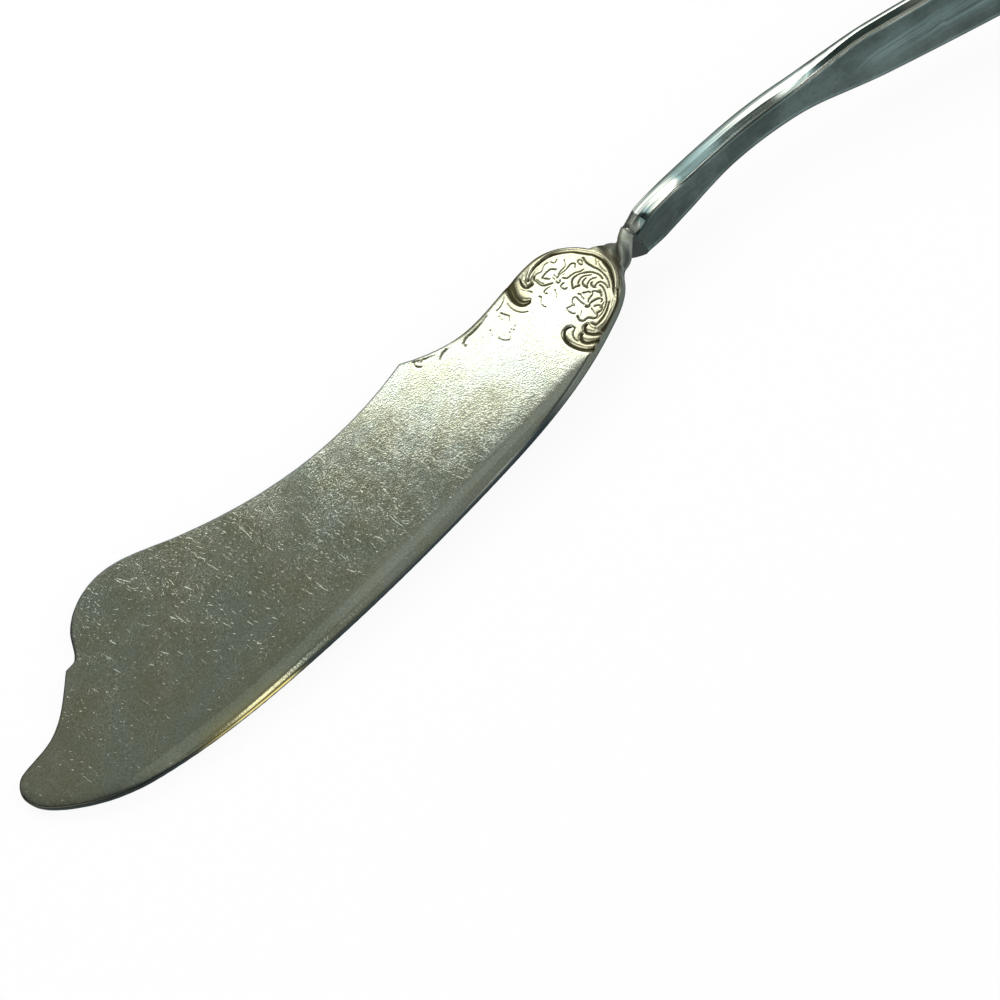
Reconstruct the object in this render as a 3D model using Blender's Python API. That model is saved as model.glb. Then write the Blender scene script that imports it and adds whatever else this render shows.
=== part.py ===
"""A master butter knife in silver-plated metal, lying on a table.

Units are metres and +Z is up. The knife is drawn in a flat frame first: X runs along the blade from its
tip to the handle, Y to the back of the blade and Z out of the struck face. An empty then lays it on the
three points that carry it, with the origin under the middle of its box.
"""

import math

import bmesh
import bpy
import numpy as np
from mathutils import Matrix, Vector

MM = 0.001

# Outline of the blade as (along, across). Places near the tip are measured from the tip
BLADE_LENGTH = 81.0 * MM
TIP_Y = -0.65 * MM
NOSE = (1.4 * MM, 1.35 * MM)
CLIP = (6.2 * MM, 2.3 * MM)
STEP = (11.45 * MM, 6.85 * MM)
NOTCH = (12.7 * MM, 7.0 * MM)
RISE = (14.2 * MM, 9.75 * MM)
HUMP = (20.1 * MM, 12.6 * MM)
CHIN = (3.5 * MM, -5.1 * MM)
THROAT = (11.6 * MM, -8.65 * MM)

# Places near the handle are measured back from the neck
FALL = (52.4 * MM, 9.95 * MM)
WAIST = (33.9 * MM, 6.2 * MM)
PEAK = (23.4 * MM, 7.5 * MM)
HOLLOW = (15.8 * MM, 5.2 * MM)
SHOULDER = (6.6 * MM, 6.2 * MM)
SHOULDER_TURN = (1.3 * MM, 2.95 * MM)
BELLY = (49.4 * MM, -10.3 * MM)
HEEL = (21.9 * MM, -8.75 * MM)
UNDER_SHOULDER = (5.7 * MM, -5.0 * MM)
UNDER_TURN = (1.0 * MM, -2.05 * MM)

# Thickness of the blade, from the tip to the struck shoulder, and of its cutting edge
TIP_THICKNESS = 0.9 * MM
SHOULDER_THICKNESS = 1.9 * MM
EDGE_THICKNESS = 0.8 * MM
BEVEL_WIDTH = 3.4 * MM
BREAK = 0.25 * MM

# Struck ornament: a raised rim round the shoulder, with its bosses measured back from the neck
RIM_CENTRE = (6.1 * MM, 0.25 * MM)
RIM_RADIUS = 4.65 * MM
RIM_WIDTH = 0.8 * MM
RIM_HEIGHT = 0.3 * MM
RIM_START = 118.0
RIM_END = -95.0
BOSSES = ((6.0 * MM, 2.2 * MM), (5.4 * MM, -1.9 * MM), (10.2 * MM, 3.9 * MM), (9.1 * MM, -3.0 * MM))
BOSS_RADIUS = 1.1 * MM
BOSS_HEIGHT = 0.2 * MM

# Twisted neck, from the end of the blade to the joint. The twist, in degrees, begins in the blade's end
NECK_Y = 0.7 * MM
NECK_LENGTH = 2.9 * MM
NECK_ROOT_WIDTH = 3.1 * MM
NECK_WAIST_WIDTH = 3.0 * MM
NECK_WAIST_THICKNESS = 2.15 * MM
NECK_WAIST_AT = 1.2 * MM
TWIST = 102.0
TWIST_PLACES = (-0.7 * MM, 0.3 * MM, 0.8 * MM, 1.8 * MM, NECK_LENGTH)
TWIST_ANGLES = (0.0, 24.0, 43.0, 76.0, TWIST)

# Joint: a flat tang in a socket, with solder between them
TANG_WIDTH = 2.3 * MM
TANG_THICKNESS = 0.75 * MM
TANG_LENGTH = 7.0 * MM
SOLDER_WALL = 0.12 * MM
SOLDER_COLLAR = 0.15 * MM
JOINT_GAP = 0.04 * MM
SOCKET_SPARE = 0.4 * MM

# Handle: how wide and thick it is at places measured along it from the joint
HANDLE_LENGTH = 102.5 * MM
ROOT_WIDTH = 3.9 * MM
ROOT_THICKNESS = 1.9 * MM
SWELL_AT = 2.6 * MM
SWELL_WIDTH = 4.8 * MM
SWELL_THICKNESS = 2.25 * MM
STEM_AT = 13.0 * MM
STEM_WIDTH = 3.6 * MM
STEM_THICKNESS = 2.2 * MM
FLARE_START = 21.0 * MM
FLARE_START_WIDTH = 3.8 * MM
FLARE_END = 31.5 * MM
FLARE_END_WIDTH = 7.6 * MM
BODY_THICKNESS = 1.5 * MM
BODY_AT = 60.0 * MM
BODY_WIDTH = 9.6 * MM
END_WIDEST_AT = 88.0 * MM
END_WIDTH = 15.6 * MM
END_THICKNESS = 1.9 * MM
END_CHAMFER = 0.4 * MM

# Sweep of the handle in the plane of the blade: headings in degrees, with the lengths over which it turns
NECK_HEADING = 0.0
RISE_HEADING = 8.0
RISE_LENGTH = 9.5 * MM
BEND_HEADING = 4.2
BEND_LENGTH = 15.5 * MM
DROP_HEADING = -14.6
DROP_LENGTH = 22.0 * MM
END_HEADING = -4.0

TOP_COLUMNS = 21
UNDER_COLUMNS = 5

SILVER = (0.72, 0.71, 0.62, 1.0)
SOLDER = (0.62, 0.60, 0.52, 1.0)


def clear_scene():
    """Remove every object that the new file brings."""
    for old in list(bpy.data.objects):
        bpy.data.objects.remove(old, do_unlink=True)


def metal(name, colour, roughness):
    """One Principled metal."""
    made = bpy.data.materials.new(name)
    made.use_nodes = True
    shader = made.node_tree.nodes["Principled BSDF"]
    shader.inputs["Base Color"].default_value = colour
    shader.inputs["Metallic"].default_value = 1.0
    shader.inputs["Roughness"].default_value = roughness
    made.diffuse_color = colour
    return made


def smooth_line(knots, steps=24):
    """Points of a smooth line through knots of (place, heading in, heading out), headings in degrees."""
    points = []
    for (start, _, leave), (end, arrive, _) in zip(knots, knots[1:]):
        a, b = np.array(start), np.array(end)
        chord = np.linalg.norm(b - a)
        go = chord * np.array([math.cos(math.radians(leave)), math.sin(math.radians(leave))])
        come = chord * np.array([math.cos(math.radians(arrive)), math.sin(math.radians(arrive))])
        t = np.linspace(0.0, 1.0, steps, endpoint=False)[:, None]
        through = a * (2 * t**3 - 3 * t**2 + 1) + b * (3 * t**2 - 2 * t**3)
        points.append(through + go * (t**3 - 2 * t**2 + t) + come * (t**3 - t**2))
    points.append(np.array([knots[-1][0]]))
    return np.vstack(points)


def from_neck(place):
    """A place measured back from the neck, in the knife's frame."""
    return (BLADE_LENGTH - place[0], place[1])


def back_line():
    """The back of the blade, from the tip to the neck."""
    return smooth_line((
        ((0.0, TIP_Y), 90, 90),
        (NOSE, 14, 14),
        (CLIP, 24, 24),
        (STEP, 46, 6),
        (NOTCH, 12, 42),
        (RISE, 56, 56),
        (HUMP, 0, 0),
        (from_neck(FALL), -21, -21),
        (from_neck(WAIST), 0, 0),
        (from_neck(PEAK), 14, -28),
        (from_neck(HOLLOW), 0, 0),
        (from_neck(SHOULDER), 0, 0),
        (from_neck(SHOULDER_TURN), -58, -16),
        ((BLADE_LENGTH, NECK_Y + NECK_ROOT_WIDTH / 2), -34, -34),
    ))


def edge_line():
    """The cutting edge and the under side of the shoulder, from the tip to the neck."""
    return smooth_line((
        ((0.0, TIP_Y), -90, -90),
        (CHIN, -35, -35),
        (THROAT, -12, -12),
        (from_neck(BELLY), 0, 0),
        (from_neck(HEEL), 6, 6),
        (from_neck(UNDER_SHOULDER), 23, 23),
        (from_neck(UNDER_TURN), 54, 54),
        ((BLADE_LENGTH, NECK_Y - NECK_ROOT_WIDTH / 2), 26, 26),
    ))


def ease(value):
    """Smooth step from 0 to 1."""
    value = np.clip(value, 0.0, 1.0)
    return value * value * (3.0 - 2.0 * value)


def relief(x, y):
    """Height of the struck ornament over the face."""
    cx, cy = from_neck(RIM_CENTRE)
    angle = np.degrees(np.arctan2(y - cy, x - cx))
    off = np.abs(np.hypot(x - cx, y - cy) - RIM_RADIUS) / (RIM_WIDTH / 2)
    rim = np.where((angle < RIM_START) & (angle > RIM_END), np.clip(1.0 - off**2, 0.0, 1.0), 0.0)
    height = RIM_HEIGHT * rim
    for boss in BOSSES:
        bx, by = from_neck(boss)
        reach = np.hypot(x - bx, y - by) / BOSS_RADIUS
        height = np.maximum(height, BOSS_HEIGHT * np.clip(1.0 - reach**2, 0.0, 1.0))
    return height


def blade_thickness(x):
    """Thickness of the plate at a station: a long convex taper, level at the struck shoulder."""
    return SHOULDER_THICKNESS - (SHOULDER_THICKNESS - TIP_THICKNESS) * (1.0 - x / BLADE_LENGTH) ** 2


def blade_stations():
    """Places along the blade where it is cut into rings, close together where the shape turns."""
    corners = [STEP[0], NOTCH[0], BLADE_LENGTH - PEAK[0], HUMP[0]]
    nose = NOSE[0] * (1.0 - np.cos(np.linspace(0.16, 1.0, 8) * math.pi / 2))
    zones = [
        nose,
        np.linspace(NOSE[0], STEP[0], 9),
        np.linspace(NOTCH[0], HUMP[0], 12),
        np.linspace(HUMP[0], BLADE_LENGTH - PEAK[0], 16),
        np.linspace(BLADE_LENGTH - PEAK[0], BLADE_LENGTH - RIM_CENTRE[0] - RIM_RADIUS, 11),
        np.linspace(BLADE_LENGTH - RIM_CENTRE[0] - RIM_RADIUS, BLADE_LENGTH + TWIST_PLACES[0], 28),
        np.linspace(BLADE_LENGTH + TWIST_PLACES[0], BLADE_LENGTH, 6),
    ]
    return np.unique(np.round(np.concatenate([*zones, corners]), 7))


def blade_ring(x, back, edge):
    """Points round the blade at one station: back wall, struck face, edge wall, under side."""
    top_y = float(np.interp(x, back[:, 0], back[:, 1]))
    low_y = float(np.interp(x, edge[:, 0], edge[:, 1]))
    under = -SHOULDER_THICKNESS / 2
    thick = float(blade_thickness(x))
    wide = top_y - low_y
    broken = min(BREAK, wide / 4)
    share = np.linspace(0.0, 1.0, TOP_COLUMNS)
    share = 0.5 * share + 0.5 * (0.5 - 0.5 * np.cos(math.pi * share))
    y = top_y - broken - share * (wide - 2 * broken)
    sharp = 1.0 - float(ease((x - (BLADE_LENGTH - HOLLOW[0])) / (HOLLOW[0] - RIM_CENTRE[0])))
    wall = thick - (thick - EDGE_THICKNESS) * sharp
    inward = np.clip((y - low_y) / min(BEVEL_WIDTH, wide / 2), 0.0, 1.0)
    z = under + thick - (thick - wall) * (1.0 - inward) ** 3 + relief(x, y)
    chamfer = min(broken, wall / 3)
    ring = [(x, top_y, under + broken), (x, top_y, under + thick - broken)]
    ring += [(x, a, b) for a, b in zip(y, z)]
    ring += [(x, low_y, under + wall - chamfer), (x, low_y, under + chamfer)]
    ring += [(x, a, under) for a in np.linspace(low_y + broken, top_y - broken, UNDER_COLUMNS)]
    turn = Matrix.Rotation(-math.radians(twist_at(x - BLADE_LENGTH)), 3, "X")
    middle = Vector((0.0, NECK_Y, 0.0))
    return [middle + turn @ (Vector(point) - middle) for point in ring]


def bar_ring(place, heading, twist, width, thick, chamfer, top=TOP_COLUMNS, under=UNDER_COLUMNS):
    """Points round a bar with broken corners, turned about its line, in the order of the blade's rings."""
    half_w, half_t = width / 2, thick / 2
    broken = min(chamfer, half_t * 0.8, half_w * 0.8)
    flat = [(half_w, broken - half_t), (half_w, half_t - broken)]
    flat += [(a, half_t) for a in np.linspace(half_w - broken, broken - half_w, top)]
    flat += [(-half_w, half_t - broken), (-half_w, broken - half_t)]
    flat += [(a, -half_t) for a in np.linspace(broken - half_w, half_w - broken, under)]
    turn = Matrix.Rotation(math.radians(heading), 3, "Z") @ Matrix.Rotation(-math.radians(twist), 3, "X")
    return [Vector(place) + turn @ Vector((0.0, a, b)) for a, b in flat]


def loft(name, rings, material, closed=False):
    """One solid skinned over rings of equal count, capped at both ends or closed on itself."""
    shell = bmesh.new()
    rows = [[shell.verts.new(point) for point in ring] for ring in rings]
    following = rows[1:] + rows[:1] if closed else rows[1:]
    for row, after in zip(rows, following):
        for i in range(len(row)):
            j = (i + 1) % len(row)
            shell.faces.new((row[i], row[j], after[j], after[i]))
    if not closed:
        shell.faces.new(rows[0][::-1])
        shell.faces.new(rows[-1])
    bmesh.ops.recalc_face_normals(shell, faces=shell.faces)
    mesh = bpy.data.meshes.new(name)
    shell.to_mesh(mesh)
    shell.free()
    mesh.materials.append(material)
    made = bpy.data.objects.new(name, mesh)
    bpy.context.scene.collection.objects.link(made)
    return made


def sweep(distance):
    """Place and heading on the handle's line, at a distance along it from the end of the blade."""
    turns = (
        (NECK_LENGTH, NECK_HEADING, NECK_HEADING),
        (RISE_LENGTH, RISE_HEADING, BEND_HEADING),
        (BEND_LENGTH, BEND_HEADING, DROP_HEADING),
        (DROP_LENGTH, DROP_HEADING, DROP_HEADING),
        (HANDLE_LENGTH - RISE_LENGTH - BEND_LENGTH - DROP_LENGTH, DROP_HEADING, END_HEADING),
    )
    x, y, heading, left = BLADE_LENGTH, NECK_Y, NECK_HEADING, distance
    for length, start, end in turns:
        part = min(left, length)
        heading = start + (end - start) * part / length
        cuts = np.linspace(0.0, part, 33)
        middle = np.radians(start + (end - start) * (cuts[1:] + cuts[:-1]) / 2 / length)
        x += float(np.sum(np.cos(middle))) * part / 32
        y += float(np.sum(np.sin(middle))) * part / 32
        left -= part
        if left <= 0.0:
            break
    return (x, y, 0.0), heading


def between(distance, places, values):
    """A size that runs smoothly through its values at named places, and never past them."""
    rises = np.diff(values) / np.diff(places)
    slopes = np.zeros(len(values))
    for i, (before, after) in enumerate(zip(rises, rises[1:]), start=1):
        if before * after > 0.0:
            slopes[i] = 2.0 * before * after / (before + after)
    i = min(max(int(np.searchsorted(places, distance)) - 1, 0), len(places) - 2)
    length = places[i + 1] - places[i]
    t = (distance - places[i]) / length
    size = values[i] * (2 * t**3 - 3 * t**2 + 1) + values[i + 1] * (3 * t**2 - 2 * t**3)
    return float(size + length * (slopes[i] * (t**3 - 2 * t**2 + t) + slopes[i + 1] * (t**3 - t**2)))


def twist_at(distance):
    """Twist at a distance from the end of the blade."""
    return between(max(distance, TWIST_PLACES[0]), TWIST_PLACES, TWIST_ANGLES)


def neck_rings():
    """Rings of the twisted neck, from the end of the blade to the joint."""
    places = (0.0, NECK_WAIST_AT, NECK_LENGTH)
    rings = []
    for distance in np.linspace(NECK_LENGTH / 16, NECK_LENGTH - SOLDER_COLLAR / 2 - JOINT_GAP, 16):
        place, _ = sweep(distance)
        width = between(distance, places, (NECK_ROOT_WIDTH, NECK_WAIST_WIDTH, ROOT_WIDTH))
        thick = between(distance, places, (SHOULDER_THICKNESS, NECK_WAIST_THICKNESS, ROOT_THICKNESS))
        heading = RISE_HEADING * distance / NECK_LENGTH
        rings.append(bar_ring(place, heading, twist_at(distance), width, thick, BREAK))
    return rings


def from_joint(distance):
    """A place on the straight line that runs on from the joint, the way that the handle leaves it."""
    place, _ = sweep(NECK_LENGTH)
    ahead = Matrix.Rotation(math.radians(RISE_HEADING), 3, "Z") @ Vector((distance, 0.0, 0.0))
    return Vector(place) + ahead


def joint_ring(distance, grown, top=TOP_COLUMNS, under=UNDER_COLUMNS):
    """Ring of the tang's own section, grown all round."""
    wide, thick = TANG_WIDTH + 2 * grown, TANG_THICKNESS + 2 * grown
    return bar_ring(from_joint(distance), RISE_HEADING, TWIST, wide, thick, BREAK, top, under)


def root_ring(distance, top=TOP_COLUMNS, under=UNDER_COLUMNS):
    """Ring of the handle's root section at the joint."""
    middle = from_joint(distance)
    return bar_ring(middle, RISE_HEADING, TWIST, ROOT_WIDTH, ROOT_THICKNESS, END_CHAMFER, top, under)


def make_blade(material):
    """Blade with its shoulder, twisted neck and tang."""
    back, edge = back_line(), edge_line()
    rings = [blade_ring(x, back, edge) for x in blade_stations()]
    rings += neck_rings()
    face = -SOLDER_COLLAR / 2 - JOINT_GAP
    rings[-1] = root_ring(face)
    rings += [joint_ring(face, 0.0), joint_ring(TANG_LENGTH, 0.0)]
    return loft("blade", rings, material)


def make_solder(material):
    """Collar between the two end faces, with a sleeve round the tang."""
    front, rear = -SOLDER_COLLAR / 2, SOLDER_COLLAR / 2
    inner, outer = JOINT_GAP, JOINT_GAP + SOLDER_WALL
    rings = [
        root_ring(front, 5, 5),
        root_ring(rear, 5, 5),
        joint_ring(rear, outer, 5, 5),
        joint_ring(TANG_LENGTH, outer, 5, 5),
        joint_ring(TANG_LENGTH, inner, 5, 5),
        joint_ring(front, inner, 5, 5),
    ]
    return loft("solder", rings, material, closed=True)


def handle_rings():
    """Rings along the outside of the handle, from its root to its rounded end."""
    places = (0.0, SWELL_AT, STEM_AT, FLARE_START, FLARE_END, BODY_AT, END_WIDEST_AT)
    widths = (
        ROOT_WIDTH, SWELL_WIDTH, STEM_WIDTH, FLARE_START_WIDTH, FLARE_END_WIDTH, BODY_WIDTH, END_WIDTH,
    )
    thicks = (
        ROOT_THICKNESS, SWELL_THICKNESS, STEM_THICKNESS, STEM_THICKNESS, BODY_THICKNESS, BODY_THICKNESS,
        END_THICKNESS,
    )
    round_end = HANDLE_LENGTH - END_WIDEST_AT
    distances = [
        np.linspace(SWELL_AT / 4, SWELL_AT, 4),
        np.linspace(SWELL_AT, FLARE_START, 10),
        np.linspace(FLARE_START, FLARE_END, 12),
        np.linspace(FLARE_END, END_WIDEST_AT, 18),
        END_WIDEST_AT + round_end * np.sin(np.linspace(0.0, 0.97, 14) * math.pi / 2),
    ]
    rings = []
    for distance in np.unique(np.round(np.concatenate(distances), 7)):
        place, heading = sweep(NECK_LENGTH + distance)
        width = between(min(distance, END_WIDEST_AT), places, widths)
        thick = between(min(distance, END_WIDEST_AT), places, thicks)
        past = max(distance - END_WIDEST_AT, 0.0) / round_end
        width *= math.sqrt(1.0 - past**2)
        rings.append(bar_ring(place, heading, TWIST, width, thick, END_CHAMFER, 5, 5))
    return rings


def make_handle(material):
    """Handle with the blind socket for the tang in its front end."""
    face = SOLDER_COLLAR / 2 + JOINT_GAP
    grown = 2 * JOINT_GAP + SOLDER_WALL
    rings = [
        joint_ring(TANG_LENGTH + SOCKET_SPARE, grown, 5, 5),
        joint_ring(face, grown, 5, 5),
        root_ring(face, 5, 5),
        *handle_rings(),
    ]
    return loft("handle", rings, material)


def middle_of_mass(pieces):
    """Middle of the volume of the solids."""
    total, moment = 0.0, Vector((0.0, 0.0, 0.0))
    for piece in pieces:
        piece.data.calc_loop_triangles()
        corners = [vertex.co for vertex in piece.data.vertices]
        for triangle in piece.data.loop_triangles:
            a, b, c = (corners[i] for i in triangle.vertices)
            volume = a.dot(b.cross(c)) / 6.0
            total += volume
            moment += (a + b + c) / 4.0 * volume
    return moment / total


def resting_place(pieces):
    """How the knife lies: on the face of its hull under its middle of mass, origin under the box."""
    hull = bmesh.new()
    for piece in pieces:
        for vertex in piece.data.vertices:
            hull.verts.new(vertex.co)
    bmesh.ops.convex_hull(hull, input=hull.verts)
    middle = middle_of_mass(pieces)
    bases = [
        face for face in hull.faces
        if face.normal.z < -0.9 and bmesh.geometry.intersect_face_point(face, middle)
    ]
    down = max(bases, key=lambda face: face.calc_area()).normal
    turn = down.rotation_difference(Vector((0.0, 0.0, -1.0))).to_matrix().to_4x4()
    laid = np.array([turn @ vertex.co for vertex in hull.verts])
    hull.free()
    low, high = laid.min(axis=0), laid.max(axis=0)
    shift = Vector((-(low[0] + high[0]) / 2, -(low[1] + high[1]) / 2, -low[2]))
    return Matrix.Translation(shift) @ turn


def main():
    """Build the knife and lay it down."""
    clear_scene()
    pieces = [
        make_blade(metal("blade_plate", SILVER, 0.3)),
        make_handle(metal("handle_plate", SILVER, 0.3)),
        make_solder(metal("hard_solder", SOLDER, 0.35)),
    ]
    knife = bpy.data.objects.new("knife", None)
    bpy.context.scene.collection.objects.link(knife)
    knife.matrix_world = resting_place(pieces)
    for piece in pieces:
        piece.parent = knife


main()
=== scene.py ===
"""Butter knife in worn silver plate: a struck shoulder, a twisted neck and a slim handle.

The knife is drawn in millimetres in a flat frame: X runs along the blade from its tip to the handle, Y to the
back of the blade and Z out of the struck face. It is then laid down where the frame has it.
"""

import math

import bmesh
import bpy
import numpy as np
from bpy.props import FloatProperty, FloatVectorProperty, PointerProperty
from mathutils import Euler, Matrix, Vector


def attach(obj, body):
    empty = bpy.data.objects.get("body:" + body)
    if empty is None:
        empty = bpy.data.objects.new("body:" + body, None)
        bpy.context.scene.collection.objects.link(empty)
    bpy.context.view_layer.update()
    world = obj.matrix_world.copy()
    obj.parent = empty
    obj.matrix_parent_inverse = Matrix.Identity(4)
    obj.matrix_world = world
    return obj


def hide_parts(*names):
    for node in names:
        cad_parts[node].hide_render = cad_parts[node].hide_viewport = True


bl_info = {
    "name": "Butter knife",
    "version": (1, 0, 0),
    "blender": (4, 5, 0),
    "location": "3D View > Sidebar > Butter knife",
    "description": "Dresses a butter knife: struck shoulder, twisted neck, handle and worn silver plate",
    "category": "Object",
}

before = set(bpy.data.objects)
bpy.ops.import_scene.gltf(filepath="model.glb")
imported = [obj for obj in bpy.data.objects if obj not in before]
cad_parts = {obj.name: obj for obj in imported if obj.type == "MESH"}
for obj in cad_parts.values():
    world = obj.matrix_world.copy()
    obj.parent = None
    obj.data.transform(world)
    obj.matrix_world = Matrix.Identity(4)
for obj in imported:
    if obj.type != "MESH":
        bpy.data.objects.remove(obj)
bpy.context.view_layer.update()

MM = 0.001

# How the knife lies on the table: degrees about X, Y and Z, then millimetres
REST_TURN = (-3.002, -2.049, 0.054)
REST_PLACE = (-92.333, 1.681, 1.017)

# Outline of the blade as (along, across). Places near the tip are measured from the tip
BLADE_LENGTH = 81.0
TIP_Y = -0.65
NOSE = (1.4, 1.35)
CLIP = (6.2, 2.3)
STEP = (11.45, 6.85)
NOTCH = (12.7, 7.0)
RISE = (14.2, 9.75)
HUMP = (20.1, 12.6)
CHIN = (3.5, -5.1)
THROAT = (11.6, -8.65)

# Places near the handle are measured back from the neck
FALL = (52.4, 9.95)
WAIST = (33.9, 6.2)
PEAK = (23.4, 7.5)
HOLLOW = (15.8, 5.2)
SHOULDER = (6.6, 6.2)
SHOULDER_TURN = (1.3, 2.95)
BELLY = (49.4, -10.3)
HEEL = (21.9, -8.75)
UNDER_SHOULDER = (5.7, -5.0)
UNDER_TURN = (1.0, -2.05)

# Thickness of the blade and the rounding of its corners
TIP_THICKNESS = 0.9
SHOULDER_THICKNESS = 1.9
CORNER = 0.2
BACK_CORNER = 0.08

# Bevel towards the cutting edge, and where along the blade it begins, narrows and ends
EDGE_THICKNESS = 0.55
BEVEL_WIDTH = 3.2
HEEL_BEVEL_WIDTH = 2.0
BEVEL_BEGINS = (CHIN[0], 17.5)
BEVEL_NARROWS = (35.0, 70.0)
BEVEL_ENDS = (73.0, 57.0)
# How far the face falls off softly before the bevel
SOFT_FALL = 0.045

# Middle of the shoulder's rim, measured back from the neck
RIM_CENTRE = (6.1, 0.25)

# Twisted neck, from the end of the blade to the joint, and the tang. The twist begins in the blade's end
NECK_Y = 0.7
NECK_LENGTH = 2.9
NECK_ROOT_WIDTH = 3.1
NECK_WAIST_WIDTH = 3.0
NECK_WAIST_THICKNESS = 2.15
NECK_WAIST_AT = 1.2
NECK_CORNER = 0.12
TWIST = 102.0
TWIST_PLACES = (-0.7, 0.3, 0.8, 1.8, NECK_LENGTH)
TWIST_ANGLES = (0.0, 24.0, 44.0, 82.0, TWIST)
TANG_WIDTH = 2.3
TANG_THICKNESS = 0.75
TANG_LENGTH = 7.0
TANG_CORNER = 0.2
SOLDER_WALL = 0.12
SOLDER_COLLAR = 0.15
JOINT_GAP = 0.04
SOCKET_SPARE = 0.4

# Solder's lip round the joint: the share of the gap that it takes up, and the width of its bead
COLLAR_REACH = 0.9
BEAD_WIDTH = 0.26
# Rows of the lip: share of the way from its middle, how much slimmer it is, and how far its bead stands out
COLLAR_LIP = ((-1.0, 0.04, 0.02), (-0.4, 0.0, 0.26), (0.4, 0.0, 0.26), (1.0, 0.04, 0.02))

# Handle: how wide and thick it is at places measured along it from the joint
HANDLE_LENGTH = 102.5
HANDLE_PLACES = (0.0, 2.6, 13.0, 21.0, 31.5, 60.0, 88.0)
HANDLE_WIDTHS = (3.9, 4.8, 3.6, 3.8, 7.6, 9.6, 15.6)
HANDLE_THICKNESSES = (1.9, 2.25, 2.2, 2.2, 1.5, 1.5, 1.9)
HANDLE_CORNER = 0.22
# Inset at which the struck relief of its front is full
STRUCK_INSET = 0.4
ROOT_LENGTH = 1.75
# Half of the handle's width under its middle near the joint, where it is fuller above than below
ROOT_UNDER_PLACES = (0.0, 1.2, 3.0, 6.0)
ROOT_UNDER_HALVES = (1.95, 2.06, 2.12, 2.12)
ROOT_UNDER_END = 9.5

# Bevel under the handle's upper edge: how far it cuts in, and the share of the edge above it
EDGE_BEVEL_PLACES = (0.0, 0.6, 3.2, 5.4, 7.4, 18.5, 22.5, 33.0, 60.0, 88.0)
EDGE_BEVELS = (0.45, 0.5, 0.04, 0.05, 0.25, 0.25, 0.1, 0.5, 0.5, 0.4)
EDGE_FOLDS = (0.5, 0.5, 0.5, 0.5, 0.5, 0.55, 0.62, 0.4, 0.5, 0.5)

# Darkening of the handle's upper edge at places along it, on its bevel and above it: partly tarnish, partly
# painted dark reflection that lays out its light and dark bands
STRIP_PLACES = (
    0.0, 0.5, 1.1, 1.5, 1.9, 3.4, 5.2, 6.2, 7.6, 13.5, 17.5, 21.5, 23.5, 26.0, 34.0, 38.0, 60.0, 88.0,
)
STRIP_LOW_DARK = (
    0.5, 0.0, 0.6, 0.95, 0.95, 0.7, 0.45, 0.4, 0.92, 0.82, 0.76, 0.7, 0.75, 0.95, 0.95, 0.4, 0.3, 0.3,
)
STRIP_HIGH_DARK = (
    0.9, 0.05, 0.0, 0.1, 0.62, 0.56, 0.5, 0.6, 0.9, 0.74, 0.5, 0.35, 0.3, 0.15, 0.1, 0.2, 0.3, 0.3,
)

# Darkening of the handle's front, partly tarnish and partly painted dark reflection, with a painted dark line
# at its seen edge; painted shade lines along its upper edge as (share, width); and the edges of its back,
# with a painted highlight line inside its lower edge and a painted shade line at it
FRONT_DARK = 0.5
FRONT_BRIGHT_EDGE = 0.2
FRONT_DARK_EDGE = 0.5
TOP_LINE = (0.85, 0.36)
FOLD_LINE = (0.8, 0.1)
LOW_LINE = (0.6, 0.14)
TOP_DARK = 0.4
BACK_BRIGHT_EDGE = 0.22
BACK_RIM = (0.15, 0.13)
BACK_RIM_INSET = 0.5
BACK_LOW_LINE = (0.8, 0.22)

# Stretches of the handle where such a line comes or goes, from the joint
FRONT_LINE_COMES = (3.0, 6.0)
FOLD_LINE_GOES = (4.5, 2.5)
BRIGHT_EDGE_COMES = (1.5, 4.5)
# Stem where the bright edge is fainter, and the painted highlight along the middle of the back, where its
# tarnish is lighter: begins, is full, is full still and ends
STEM_FAINT = (5.5, 7.5, 21.0, 25.0)
STEM_FAINT_SHARE = 0.7
BACK_HIGHLIGHT = (26.0, 33.0, 42.0, 50.0)
BACK_HIGHLIGHT_SHARE = 0.14
BACK_HIGHLIGHT_WIDTH_SHARE = 0.2

# Sweep of the neck and handle in the plane of the blade: length, heading at its start and at its end
JOINT_HEADING = 8.0
SWEEP = (
    (NECK_LENGTH, 0.0, 0.0),
    (9.5, JOINT_HEADING, 4.2),
    (15.5, 4.2, -14.6),
    (22.0, -14.6, -14.6),
    (55.5, -14.6, -4.0),
)
# Short straight parts that each length of the sweep is added up from
SWEEP_CUTS = 32

# Camera: what it looks at, its distance and the width it sees there, its tilt off the face and its roll
CAMERA_AIM = (56.1, -11.05, 0.0)
CAMERA_DISTANCE = 400.0
CAMERA_WIDTH = 100.0
CAMERA_TILT = 25.0
CAMERA_ROLL = 41.563
# Width of its sensor in millimetres, and the nearest and farthest distance it sees, in metres
SENSOR_WIDTH = 36.0
CAMERA_CLIP = (0.02, 50.0)

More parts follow.
